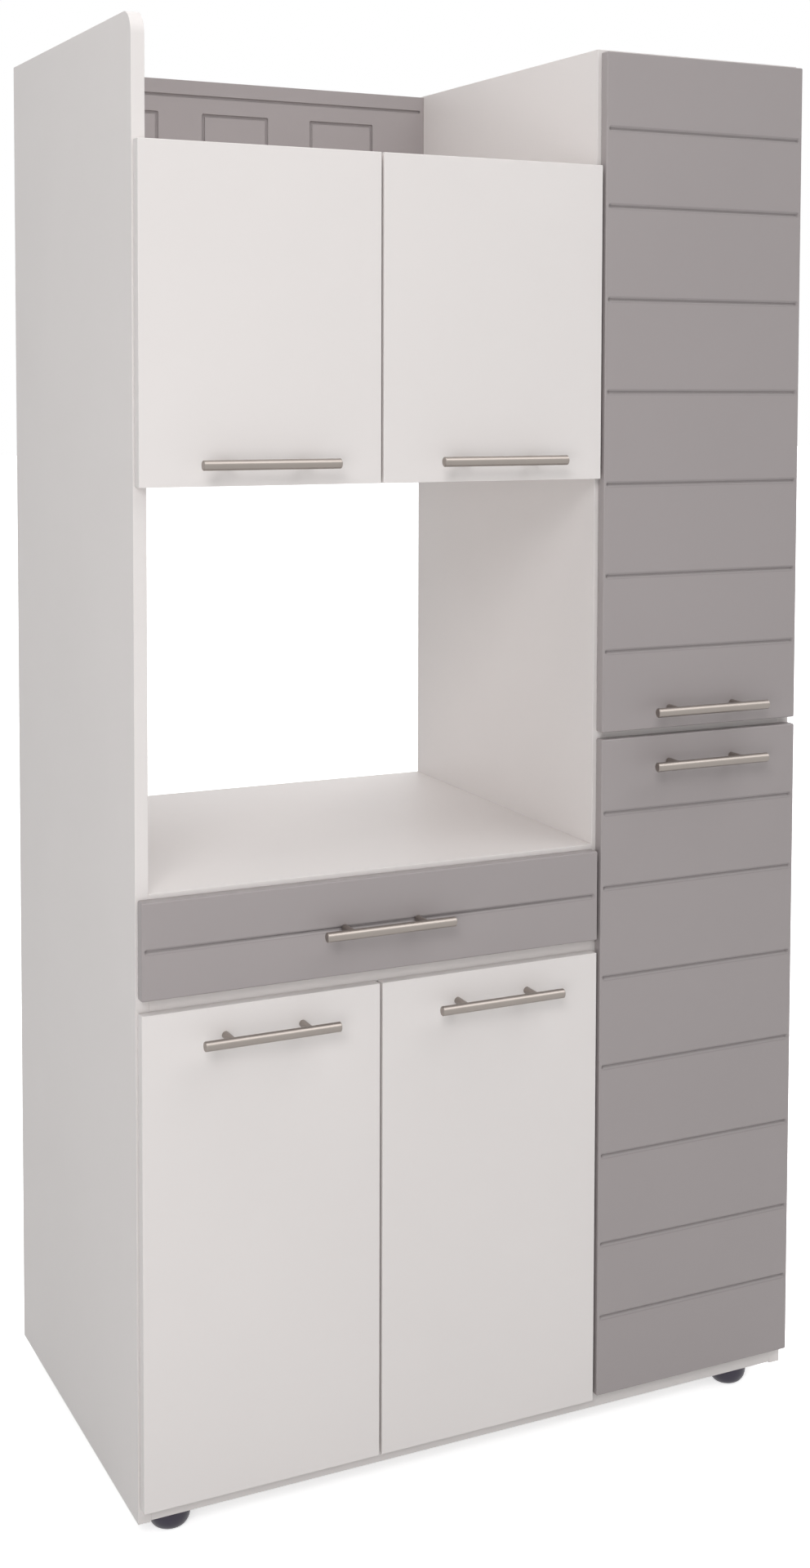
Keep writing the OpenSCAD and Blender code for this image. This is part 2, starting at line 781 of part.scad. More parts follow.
// cup sunk in the door's back, with its flange and two screws
module hinge_cup() {
    difference() {
        rod_y(cup_in, door_back - cup_depth + fit, door_back, 0, cup_d / 2 - fit);
        rod_y(cup_in, door_back - cup_depth + cup_wall, door_back + cut, 0, cup_d / 2 - cup_wall);
    }
    difference() {
        union() {
            rod_y(cup_in, door_back, door_back + flange_t, 0, flange_r);
            board(cup_screw_x - flange_tab / 2, cup_screw_x + flange_tab / 2,
                  door_back, door_back + flange_t, -flange_half, flange_half);
        }
        rod_y(cup_in, door_back - cut, door_back + flange_t + cut, 0, cup_d / 2 - cup_wall);
        for (s = [-1, 1]) {
            rod_y(cup_screw_x, door_back - cut, door_back + flange_t + cut,
                  s * cup_screw_half, screw_r + fit);
        }
    }
}

module cup_screws() {
    for (s = [-1, 1]) {
        rod_y(cup_screw_x, door_back - screw_len, door_back + flange_t, s * cup_screw_half, screw_r);
        rod_y(cup_screw_x, door_back + flange_t, door_back + flange_t + screw_head_h,
              s * cup_screw_half, screw_head_r);
    }
}

module cup_bores() {
    rod_y(cup_in, door_back - cup_depth, door_back + cut, 0, cup_d / 2);
    for (s = [-1, 1]) {
        rod_y(cup_screw_x, door_back - screw_len - fit, door_back + cut,
              s * cup_screw_half, screw_r + fit);
    }
}

module door_hinge_cups(d) {
    color(STEEL) in_frame() at_hinges(d) {
        hinge_cup();
        cup_screws();
    }
}

// ---- doors and handles ----

module slab(d) {
    board(d[0], d[1], door_face, door_back, d[2], d[3]);
}

module handle_holes(d) {
    for (x = post_x(d)) {
        rod_y(x, door_face - cut, door_back + cut, d[5], handle_screw_r + fit);
    }
}

module white_door(d) {
    color(WHITE) in_frame() difference() {
        slab(d);
        handle_holes(d);
        at_hinges(d) cup_bores();
    }
}

// grey door with seven stopped V grooves: two narrow planks at each end, four wide ones between
module grey_door(d) {
    z1 = d[3];
    n = plank_narrow;
    w = plank_wide;
    offsets = [0, n, n + w, n + 2 * w, n + 3 * w, n + 4 * w, 2 * n + 4 * w];
    color(GREY) in_frame() difference() {
        slab(d);
        for (o = offsets) {
            v_groove(d[0] + groove_end, d[1] - groove_end, z1 - plank_first - o, door_face);
        }
        handle_holes(d);
        at_hinges(d) cup_bores();
    }
}

// T-bar with two blind bores for the posts' spigots
module handle_bar(d) {
    color(STEEL) in_frame() difference() {
        rod_x(middle_x(d) - bar_len / 2, middle_x(d) + bar_len / 2, bar_y, d[5], bar_d / 2);
        for (x = post_x(d)) {
            rod_y(x, bar_y + bar_d / 2 - spigot_in, bar_y + bar_d, d[5], spigot_r + fit);
        }
    }
}

module handle_posts(d) {
    color(STEEL) in_frame() for (x = post_x(d)) {
        difference() {
            union() {
                difference() {
                    rod_y(x, bar_y, door_face, d[5], post_d / 2);
                    rod_x(x - post_d, x + post_d, bar_y, d[5], bar_d / 2 + fit);
                }
                rod_y(x, bar_y + bar_d / 2 - spigot_in + fit, bar_y + bar_d, d[5], spigot_r);
            }
            rod_y(x, door_face - handle_screw_in - fit, door_face + cut, d[5], handle_screw_r + fit);
        }
        rod_y(x, door_face - handle_screw_in, door_back, d[5], handle_screw_r);
        rod_y(x, door_back, door_back + handle_screw_head_h, d[5], handle_screw_head_r);
    }
}

// ---- drawer ----

module drawer_front() {
    z = (drawer_z0 + drawer_z1) / 2;
    color(GREY) in_frame() difference() {
        slab(DR);
        v_groove(DR[0] + groove_end, DR[1] - groove_end, z, door_face);
        handle_holes(DR);
        board(box_x0 + drawer_t - bottom_groove, box_x1 - drawer_t + bottom_groove,
              door_back - bottom_groove, door_back + cut, bottom_z0 - groove_play, bottom_z1 + groove_play);
        for (x = [box_x0 + drawer_t / 2, box_x1 - drawer_t / 2], z = side_dowel_zs) {
            rod_y(x, door_back - dowel_side - fit, door_back + cut, z, dowel_r + fit);
        }
    }
}

// a box side whose outer face is at x
module drawer_side(x, way) {
    color(WHITE) in_frame() difference() {
        board_from(x, way, 0, drawer_t, door_back, box_y1, box_z0, box_z1);
        board_from(x, way, drawer_t - bottom_groove, drawer_t + cut, door_back - cut, box_y1 + cut,
                   bottom_z0 - groove_play, bottom_z1 + groove_play);
        for (z = side_dowel_zs) {
            rod_y(x + way * drawer_t / 2, door_back - cut, door_back + dowel_len - dowel_side + fit,
                  z, dowel_r + fit);
        }
        for (z = back_screw_zs) {
            rod_from(x, way, -cut, drawer_t + cut, back_screw_y, z, screw_r + fit);
            rod_from(x, way, -cut, screw_head_h, back_screw_y, z, screw_head_r + fit);
        }
        for (y = drawer_screw_ys) {
            rod_from(x, way, -cut, drawer_t + cut, y, runner_z, screw_r + fit);
        }
    }
}

module drawer_left_side() {
    drawer_side(box_x0, 1);
}

module drawer_right_side() {
    drawer_side(box_x1, -1);
}

module drawer_back() {
    color(WHITE) in_frame() difference() {
        board(box_x0 + drawer_t, box_x1 - drawer_t, box_y1 - drawer_t, box_y1,
              bottom_z1 + groove_play, box_z1);
        for (f = [[box_x0, 1], [box_x1, -1]], z = back_screw_zs) {
            rod_from(f[0], f[1], 0, drawer_t + back_screw_grip + fit, back_screw_y, z, screw_r + fit);
        }
    }
}

module drawer_bottom() {
    color(WHITE) in_frame() board(box_x0 + drawer_t - bottom_groove + groove_play,
        box_x1 - drawer_t + bottom_groove - groove_play, door_back - bottom_groove + groove_play,
        box_y1, bottom_z0, bottom_z1);
}

// screws and dowels of the drawer box, and the screws of its runners
module drawer_screws() {
    color(STEEL) in_frame() for (f = [[box_x0, 1], [box_x1, -1]]) {
        x = f[0];
        for (z = back_screw_zs) {
            screw_in(x, -f[1], back_screw_y, z, -screw_head_h,
                     drawer_t + back_screw_grip - screw_head_h);
        }
        for (y = drawer_screw_ys) {
            screw_in(x, -f[1], y, runner_z, runner_t, runner_t + drawer_t - cut);
        }
        for (z = side_dowel_zs) {
            rod_y(x + f[1] * drawer_t / 2, door_back - dowel_side, door_back + dowel_len - dowel_side,
                  z, dowel_r);
        }
    }
}

// ---- runners: three nested channels on each side ----

// a channel lying along y: web at x, open towards way, half height h, flanges w deep
module channel(x, way, h, w) {
    y1 = runner_y0 + runner_len;
    board_from(x, way, 0, runner_t, runner_y0, y1, runner_z - h, runner_z + h);
    for (s = [-1, 1]) {
        z = runner_z + s * (h - runner_t / 2);
        board_from(x, way, 0, w, runner_y0, y1, z - runner_t / 2, z + runner_t / 2);
    }
}

module cabinet_runners() {
    h = runner_h / 2;
    color(STEEL) in_frame() for (f = [[left_in, 1], [divider_x0, -1]]) {
        difference() {
            channel(f[0], f[1], h, cabinet_flange);
            for (y = runner_screw_ys) {
                rod_from(f[0], f[1], -cut, runner_t + cut, y, runner_z, screw_r + fit);
            }
        }
    }
}

module runner_middles() {
    h = runner_h / 2 - runner_t - moving_gap;
    color(STEEL) in_frame() for (f = [[left_in, 1], [divider_x0, -1]]) {
        channel(f[0] + f[1] * middle_step, f[1], h, middle_flange);
    }
}

module drawer_runners() {
    h = runner_h / 2 - 2 * runner_t - 2 * moving_gap;
    color(STEEL) in_frame() for (f = [[box_x0, -1], [box_x1, 1]]) {
        difference() {
            channel(f[0], f[1], h, drawer_flange);
            for (y = drawer_screw_ys) {
                rod_from(f[0], f[1], -cut, runner_t + cut, y, runner_z, screw_r + fit);
            }
        }
    }
}

// ---- the named pieces ----

left_side_panel();
divider_panel();
right_side_panel();
base_panel();
drawer_shelf();
microwave_deck();
upper_cabinet_bottom();
upper_cabinet_top();
gallery_back_board();
column_top_panel();
column_fixed_shelf();
lower_cabinet_shelf();
column_shelf(0);  // column_shelf_1
column_shelf(1);  // column_shelf_2
column_shelf(2);  // column_shelf_3
column_shelf(3);  // column_shelf_4
shelf_pins();
lower_back_sheet();
column_back_sheet();
feet();
cam_locks();
connecting_bolts();
wood_dowels();
hinge_arms();
carcass_screws();
cabinet_runners();
runner_middles();
drawer_front();
drawer_left_side();
drawer_right_side();
drawer_back();
drawer_bottom();
drawer_runners();
drawer_screws();
handle_bar(DR);  // drawer_handle_bar
handle_posts(DR);  // drawer_handle_posts
white_door(UL);  // upper_left_door
door_hinge_cups(UL);  // upper_left_hinge_cups
handle_bar(UL);  // upper_left_handle_bar
handle_posts(UL);  // upper_left_handle_posts
white_door(UR);  // upper_right_door
door_hinge_cups(UR);  // upper_right_hinge_cups
handle_bar(UR);  // upper_right_handle_bar
handle_posts(UR);  // upper_right_handle_posts
white_door(LL);  // lower_left_door
door_hinge_cups(LL);  // lower_left_hinge_cups
handle_bar(LL);  // lower_left_handle_bar
handle_posts(LL);  // lower_left_handle_posts
white_door(LR);  // lower_right_door
door_hinge_cups(LR);  // lower_right_hinge_cups
handle_bar(LR);  // lower_right_handle_bar
handle_posts(LR);  // lower_right_handle_posts
grey_door(CU);  // column_upper_door
door_hinge_cups(CU);  // column_upper_hinge_cups
handle_bar(CU);  // column_upper_handle_bar
handle_posts(CU);  // column_upper_handle_posts
grey_door(CL);  // column_lower_door
door_hinge_cups(CL);  // column_lower_hinge_cups
handle_bar(CL);  // column_lower_handle_bar
handle_posts(CL);  // column_lower_handle_posts
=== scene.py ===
"""Tall kitchen unit with a microwave niche, a drawer, white doors and a grooved grey column."""
import math

import bmesh
import bpy
from mathutils import Matrix, Vector


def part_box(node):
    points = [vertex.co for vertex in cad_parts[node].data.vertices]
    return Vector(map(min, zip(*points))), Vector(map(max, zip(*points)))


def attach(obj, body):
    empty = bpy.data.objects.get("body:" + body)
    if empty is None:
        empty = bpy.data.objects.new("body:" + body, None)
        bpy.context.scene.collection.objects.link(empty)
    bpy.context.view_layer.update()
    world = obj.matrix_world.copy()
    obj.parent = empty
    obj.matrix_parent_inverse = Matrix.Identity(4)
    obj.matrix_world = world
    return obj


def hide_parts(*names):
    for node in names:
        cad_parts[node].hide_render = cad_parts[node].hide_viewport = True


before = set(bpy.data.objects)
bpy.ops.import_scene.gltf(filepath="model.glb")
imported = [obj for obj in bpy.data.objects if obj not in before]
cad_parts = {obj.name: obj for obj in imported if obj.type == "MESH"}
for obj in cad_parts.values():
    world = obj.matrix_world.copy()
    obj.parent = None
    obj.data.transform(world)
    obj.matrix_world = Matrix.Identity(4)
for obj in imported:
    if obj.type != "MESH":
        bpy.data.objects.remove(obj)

bl_info = {
    "name": "Microwave Cabinet",
    "version": (1, 0, 0),
    "blender": (4, 5, 0),
    "location": "View3D > Sidebar > Cabinet",
    "description": "Dresses the packed cabinet with finished boards, fittings and handles",
    "category": "Add Mesh",
}

MM = 0.001
FLAT = 0.02 * MM
MERGED = 0.01 * MM
SHEET_EDGE = 0.3 * MM
SAME_PLANE, SHARP_EDGE, SPLIT_SHADING = (math.radians(a) for a in (0.5, 30, 50))
ARM_TOP, ADJUSTER_BACK = 12.5 * MM, 25 * MM
FLANGE_OUT, FLANGE_HALF, FLANGE_THICK = 28.5 * MM, 22.5 * MM, 1.25 * MM
PEG_RADIUS = 3.9 * MM
STAGE_REACH = 30
LEFT, RIGHT = 1, -1
DOORS = {
    "upper_left": LEFT, "upper_right": RIGHT, "lower_left": LEFT,
    "lower_right": RIGHT, "column_upper": RIGHT, "column_lower": RIGHT,
}
GREY_DOORS = ("column_upper", "column_lower")
X_LOW, X_HIGH, REAR, BELOW, ABOVE = (0, 0), (0, 1), (1, 1), (2, 0), (2, 1)


def paint(red, green, blue):
    """Linear colour of a paint named by its 8-bit screen values."""
    return tuple(
        c / 12.92 if c <= 0.04045 else ((c + 0.055) / 1.055) ** 2.4
        for c in (red / 255, green / 255, blue / 255)
    )


def colour_field(name, description, default):
    return bpy.props.FloatVectorProperty(
        name=name, description=description, subtype="COLOR", size=3, min=0, max=1, default=default
    )


def length_field(name, description, default):
    return bpy.props.FloatProperty(
        name=name, description=description, unit="LENGTH", min=0, precision=5, default=default
    )


class CabinetSizes(bpy.types.PropertyGroup):
    """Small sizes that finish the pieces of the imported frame."""

    board_edge: length_field("Board edge", "Radius of the banded board edges", 0.0006)
    door_edge: length_field("White door edge", "Radius of the white doors' edges", 0.0010)
    foil_edge: length_field("Grey front edge", "Radius of the foil-wrapped fronts' edges", 0.0020)
    groove_root: length_field("Groove root", "Radius at the root of a routed groove", 0.0005)
    groove_depth: length_field("Groove depth", "Depth of the routed grooves", 0.0035)
    corner_radius: length_field("Panel corner", "Radius of the left panel's top corner", 0.028)
    bar_chamfer: length_field("Bar chamfer", "Chamfer on the ends of the handle bars", 0.0009)
    post_pitch: length_field("Post spacing", "Distance between a handle's posts", 0.096)
    bar_radius: length_field("Bar radius", "Radius of a handle bar", 0.006)
    post_radius: length_field("Post radius", "Radius of a handle post", 0.0045)
    stamped_edge: length_field("Stamped edge", "Rounding of the stamped steel fittings", 0.00025)


class CabinetFinishes(bpy.types.PropertyGroup):
    """Colours of the cabinet's finishes."""

    white: colour_field("White board", "Melamine of the boards and white doors",
                        paint(229, 224, 222))
    grey: colour_field("Grey foil", "Foil of the drawer front, column doors and back board",
                       paint(161, 154, 154))
    core: colour_field("Board core", "Pressed chips on raw edges and in bores",
                       paint(178, 146, 104))
    hardboard: colour_field("Hardboard", "Rear of the back sheets", paint(128, 92, 60))
    steel: colour_field("Handle steel", "Satin handle bars and posts", paint(164, 156, 150))
    zinc: colour_field("Zinc", "Hinges, runners, cams and screws", paint(196, 198, 202))
    plastic: colour_field("Foot plastic", "Feet under the cabinet", paint(52, 46, 62))
    beech: colour_field("Beech", "Joining dowels", paint(206, 172, 128))
    floor: colour_field("Floor", "Plain floor of the stage", paint(196, 196, 196))


# ---- shaping ----


def copied(node):
    """A merged copy of a CAD node's loose triangles, with its flat faces joined up."""
    bm = bmesh.new()
    bm.from_mesh(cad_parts[node].data)
    bmesh.ops.remove_doubles(bm, verts=bm.verts, dist=MERGED)
    bmesh.ops.dissolve_limit(
        bm, angle_limit=SAME_PLANE, use_dissolve_boundaries=False,
        verts=bm.verts, edges=bm.edges, delimit=set(),
    )
    return bm


def ease(bm, edges, radius, segments=2):
    """Rounds the given edges."""
    bmesh.ops.bevel(
        bm, geom=edges, offset=radius, offset_type="OFFSET", affect="EDGES", segments=segments,
        profile=0.5, material=-1, clamp_overlap=False, loop_slide=True,
    )


def sharp(edge):
    return len(edge.link_faces) == 2 and edge.calc_face_angle() > SHARP_EDGE


def solids(node):
    """Vertex places of each separate solid in a CAD node."""
    bm = copied(node)
    waiting, found = set(bm.verts), []
    while waiting:
        reach = [waiting.pop()]
        solid = []
        while reach:
            vert = reach.pop()
            solid.append(vert.co.copy())
            for edge in vert.link_edges:
                other = edge.other_vert(vert)
                if other in waiting:
                    waiting.discard(other)
                    reach.append(other)
        found.append(solid)
    bm.free()
    return sorted(found, key=lambda places: tuple(round(c, 4) for c in corner(places, min)))


def corner(places, pick):
    """Lowest or highest corner of some places."""
    return Vector(pick(p[axis] for p in places) for axis in range(3))


def turned(profile, steps=32, closed=False):
    """A shape turned round Z from (radius, height) points; closed rings keep a hole."""
    bm = bmesh.new()
    verts = [bm.verts.new((radius, 0, height)) for radius, height in profile]
    pairs = list(zip(verts, verts[1:])) + ([(verts[-1], verts[0])] if closed else [])
    edges = [bm.edges.new(pair) for pair in pairs]
    bmesh.ops.spin(
        bm, geom=verts + edges, cent=(0, 0, 0), axis=(0, 0, 1), dvec=(0, 0, 0),
        angle=2 * math.pi, steps=steps, use_merge=True, use_normal_flip=False, use_duplicate=False,
    )
    bmesh.ops.remove_doubles(bm, verts=bm.verts, dist=1e-6)
    bmesh.ops.recalc_face_normals(bm, faces=bm.faces)
    return bm


def join(piece, part, place=Matrix.Identity(4)):
    """Adds a part to a piece at a place, and frees the part."""
    part.transform(place)
    scrap = bpy.data.meshes.new("scrap")
    part.to_mesh(scrap)
    part.free()
    piece.from_mesh(scrap)
    bpy.data.meshes.remove(scrap)


def aimed(point, direction):
    """The matrix that carries the origin to a point and +Z to a direction."""
    turn = Vector(direction).to_track_quat("Z", "Y").to_matrix().to_4x4()
    return Matrix.Translation(point) @ turn


def cross_recess(bm, width, reach, top, depth):
    """Sinks a cross slot into the top of a head that looks along +Z."""
    for axis in ((1, 0, 0), (0, 1, 0)):
        for way in (-1, 1):
            for out in (width / 2, reach):
                bmesh.ops.bisect_plane(
                    bm, geom=bm.verts[:] + bm.edges[:] + bm.faces[:], dist=1e-7,
                    plane_co=Vector(axis) * way * out, plane_no=axis,
                )
    slot = []
    for face in bm.faces:
        x, y, z = face.calc_center_median()
        arm, side = max(abs(x), abs(y)), min(abs(x), abs(y))
        if z > top and face.normal.z > 0.3 and arm < reach and side < width / 2:
            slot.append(face)
    bmesh.ops.inset_region(
        bm, faces=slot, thickness=width * 0.12, depth=-depth, use_even_offset=True,
        use_boundary=True,
    )


def screw(head_radius, head_height, shank_radius, length, steps=24):
    """A pan-head screw with a cross slot: seat at z = 0, shank below, head above."""
    r, h, s = head_radius, head_height, shank_radius
    tip = min(2.5 * s, length / 3)
    bm = turned([
        (0, -length), (0.35 * s, 0.15 * tip - length), (s, tip - length), (s, 0), (r, 0),
        (r, 0.45 * h), (0.93 * r, 0.75 * h), (0.75 * r, 0.93 * h), (0.5 * r, h), (0, h),
    ], steps)
    cross_recess(bm, 0.26 * r, 0.62 * r, 0.5 * h, 0.6 * h)
    return bm


def screw_pose(places):
    """Seat-side facts of a CAD screw: head end on its axis, direction of the head, box sizes."""
    lo, hi = corner(places, min), corner(places, max)
    size, middle = hi - lo, (lo + hi) / 2
    axis = max(range(3), key=lambda a: size[a])
    widest = max(size[a] for a in range(3) if a != axis) / 2
    across = [a for a in range(3) if a != axis]
    head = [
        p[axis] for p in places
        if math.hypot(*(p[a] - middle[a] for a in across)) > 0.9 * widest
    ]
    way = 1 if sum(head) / len(head) > middle[axis] else -1
    end = middle.copy()
    end[axis] = hi[axis] if way > 0 else lo[axis]
    direction = Vector(way if a == axis else 0 for a in range(3))
    return end, direction, widest, size[axis]


def settle(bm, name, body, finishes, nodes=()):
    """Makes a finished piece of a mesh: even normals, finishes, its body and what it replaces."""
    mesh = bpy.data.meshes.new(name)
    bm.to_mesh(mesh)
    bm.free()
    if not mesh.polygons:
        raise RuntimeError(f"{name} came out empty")
    for finish in finishes:
        mesh.materials.append(finish)
    mesh.polygons.foreach_set("use_smooth", [True] * len(mesh.polygons))
    mesh.set_sharp_from_angle(angle=SPLIT_SHADING)
    piece = bpy.data.objects.new(name, mesh)
    bpy.context.scene.collection.objects.link(piece)
    shading = piece.modifiers.new("Even shading", "WEIGHTED_NORMAL")
    shading.keep_sharp = True
    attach(piece, body)
    if nodes:
        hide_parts(*nodes)
    return piece


def side_of(face, lo, hi):
    """The outer side a flat face lies on, as (axis, end), or None."""
    for axis in range(3):
        for end, value in ((0, lo[axis]), (1, hi[axis])):
            if all(abs(vert.co[axis] - value) < FLAT for vert in face.verts):
                return axis, end
    return None


def dressed_board(node, body, skin, inside, edge, raw=(), groove=0, corner_radius=0):
    """A CAD board with rounded outer edges and groove roots, and its core where it is raw."""
    sizes = bpy.context.scene.cabinet_sizes
    bm = copied(node)
    lo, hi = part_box(node)

    def outer(face):
        if side_of(face, lo, hi):
            return True
        return corner_radius > 0 and all(
            v.co.y < lo.y + corner_radius + FLAT and v.co.z > hi.z - corner_radius - FLAT
            for v in face.verts
        )

    def routed(face):
        return groove > 0 and all(v.co.y < lo.y + groove + FLAT for v in face.verts)

    for face in bm.faces:
        bare = side_of(face, lo, hi) in raw or not (outer(face) or routed(face))
        face.material_index = 1 if bare else 0
    root = [
        e for e in bm.edges
        if groove > 0 and sharp(e) and all(abs(v.co.y - lo.y - groove) < FLAT for v in e.verts)
    ]
    if root:
        ease(bm, root, sizes.groove_root)
    rim = [e for e in bm.edges if sharp(e) and all(outer(f) for f in e.link_faces)]
    ease(bm, rim, edge, 3)
    return settle(bm, f"dressed_{node}", body, [skin, inside], [node])


def stamped(node, body, finish, radius, extra=None):
    """A CAD fitting with its sharp edges taken off, and anything extra joined to it."""
    bm = copied(node)
    ease(bm, [e for e in bm.edges if sharp(e)], radius, 1)
    if extra:
        extra(bm)
    return settle(bm, f"dressed_{node}", body, [finish], [node])


# ---- finishes ----


def shared_group(name, inputs, outputs):
    """A shader group with named sockets, and its two ends, or the one already made."""
    made = bpy.data.node_groups.get(name)
    if made:
        return made, None, None
    group = bpy.data.node_groups.new(name, "ShaderNodeTree")
    for label, kind, default in inputs:
        socket = group.interface.new_socket(name=label, in_out="INPUT", socket_type=kind)
        socket.default_value = default
    for label, kind in outputs:
        group.interface.new_socket(name=label, in_out="OUTPUT", socket_type=kind)
    return group, group.nodes.new("NodeGroupInput"), group.nodes.new("NodeGroupOutput")


def add_node(tree, kind, sockets=None, **settings):
    """A node with its settings, and its sockets set to values or fed by other sockets."""
    node = tree.nodes.new(kind)
    for key, value in settings.items():
        setattr(node, key, value)
    for key, value in (sockets or {}).items():
        if isinstance(value, bpy.types.NodeSocket):
            tree.links.new(value, node.inputs[key])
        else:
            node.inputs[key].default_value = value
    return node


def pressed_skin():
    """Melamine, foil and plastic: fine grain, faint clouding, handling marks, painted shade in
    grooves.
    """
    group, start, end = shared_group(
        "Pressed skin",
        [("Tint", "NodeSocketColor", (1, 1, 1, 1)), ("Clouding", "NodeSocketFloat", 0.02),
         ("Grain Scale", "NodeSocketFloat", 900.0), ("Grain Depth", "NodeSocketFloat", 0.1),
         ("Roughness", "NodeSocketFloat", 0.45), ("Handling", "NodeSocketFloat", 0.06),
         ("Painted Shade", "NodeSocketFloat", 0.0)],
        [("Color", "NodeSocketColor"), ("Roughness", "NodeSocketFloat"),
         ("Normal", "NodeSocketVector")],
    )
    if not start:
        return group
    place = add_node(group, "ShaderNodeTexCoord").outputs["Object"]
    cloud = add_node(group, "ShaderNodeTexNoise",
                     {"Vector": place, "Scale": 3.0, "Detail": 3.0, "Roughness": 0.5})
    low = add_node(group, "ShaderNodeMath", {0: 1.0, 1: start.outputs["Clouding"]},
                   operation="SUBTRACT")
    high = add_node(group, "ShaderNodeMath", {0: 1.0, 1: start.outputs["Clouding"]},
                    operation="ADD")
    lift = add_node(group, "ShaderNodeMapRange", {
        "Value": cloud.outputs["Fac"], "From Min": 0.3, "From Max": 0.7,
        "To Min": low.outputs[0], "To Max": high.outputs[0]})
    # Painted shade: the tint is darkened where ambient occlusion finds nearby surfaces within 4 mm,
    # in grooves and tight corners.
    nook = add_node(group, "ShaderNodeAmbientOcclusion", {"Distance": 4 * MM},
                    samples=8, only_local=True)
    drop = add_node(group, "ShaderNodeMath", {0: 1.0, 1: nook.outputs["AO"]}, operation="SUBTRACT")
    painted_shade = add_node(group, "ShaderNodeMath", {
        0: drop.outputs[0], 1: start.outputs["Painted Shade"]}, operation="MULTIPLY")
    shade = add_node(group, "ShaderNodeMath", {0: 1.0, 1: painted_shade.outputs[0]}, operation="SUBTRACT")
    tone = add_node(group, "ShaderNodeMath", {0: lift.outputs[0], 1: shade.outputs[0]},
                    operation="MULTIPLY")
    tint = add_node(group, "ShaderNodeVectorMath",
                    {0: start.outputs["Tint"], "Scale": tone.outputs[0]}, operation="SCALE")
    group.links.new(tint.outputs[0], end.inputs["Color"])
    marks = add_node(group, "ShaderNodeTexNoise",
                     {"Vector": place, "Scale": 11.0, "Detail": 4.0, "Roughness": 0.62})
    centred = add_node(group, "ShaderNodeMath", {0: marks.outputs["Fac"], 1: 0.5},
                       operation="SUBTRACT")
    swing = add_node(group, "ShaderNodeMath", {
        0: centred.outputs[0], 1: start.outputs["Handling"], 2: start.outputs["Roughness"]},
        operation="MULTIPLY_ADD")
    group.links.new(swing.outputs[0], end.inputs["Roughness"])
    grain = add_node(group, "ShaderNodeTexNoise",
                     {"Vector": place, "Scale": start.outputs["Grain Scale"], "Detail": 2.0})
    bump = add_node(group, "ShaderNodeBump", {
        "Strength": start.outputs["Grain Depth"], "Distance": 0.0002,
        "Height": grain.outputs["Fac"]})
    group.links.new(bump.outputs["Normal"], end.inputs["Normal"])
    return group


def drawn_metal():
    """Drawn or rolled metal: fine streaks along one direction, uneven sheen, faint stains."""
    group, start, end = shared_group(
        "Drawn metal",
        [("Tint", "NodeSocketColor", (1, 1, 1, 1)), ("Streaks", "NodeSocketVector", (12, 900, 900)),
         ("Streak Depth", "NodeSocketFloat", 0.1), ("Roughness", "NodeSocketFloat", 0.3),
         ("Sheen Swing", "NodeSocketFloat", 0.1), ("Staining", "NodeSocketFloat", 0.05)],
        [("Color", "NodeSocketColor"), ("Roughness", "NodeSocketFloat"),
         ("Normal", "NodeSocketVector")],
    )
    if not start:
        return group
    place = add_node(group, "ShaderNodeTexCoord").outputs["Object"]
    along = add_node(group, "ShaderNodeMapping",
                     {"Vector": place, "Scale": start.outputs["Streaks"]})
    streak = add_node(group, "ShaderNodeTexNoise",
                      {"Vector": along.outputs[0], "Scale": 1.0, "Detail": 3.0, "Roughness": 0.6})
    centred = add_node(group, "ShaderNodeMath", {0: streak.outputs["Fac"], 1: 0.5},
                       operation="SUBTRACT")
    sheen = add_node(group, "ShaderNodeMath", {
        0: centred.outputs[0], 1: start.outputs["Sheen Swing"], 2: start.outputs["Roughness"]},
        operation="MULTIPLY_ADD")
    group.links.new(sheen.outputs[0], end.inputs["Roughness"])
    bump = add_node(group, "ShaderNodeBump", {
        "Strength": start.outputs["Streak Depth"], "Distance": 0.0002,
        "Height": streak.outputs["Fac"]})
    group.links.new(bump.outputs["Normal"], end.inputs["Normal"])
    stain = add_node(group, "ShaderNodeTexNoise", {"Vector": place, "Scale": 45.0, "Detail": 4.0})
    drop = add_node(group, "ShaderNodeMath", {
        0: stain.outputs["Fac"], 1: start.outputs["Staining"]}, operation="MULTIPLY")
    keep = add_node(group, "ShaderNodeMath", {0: 1.0, 1: drop.outputs[0]}, operation="SUBTRACT")
    tint = add_node(group, "ShaderNodeVectorMath",
                    {0: start.outputs["Tint"], "Scale": keep.outputs[0]}, operation="SCALE")
    group.links.new(tint.outputs[0], end.inputs["Color"])
    return group


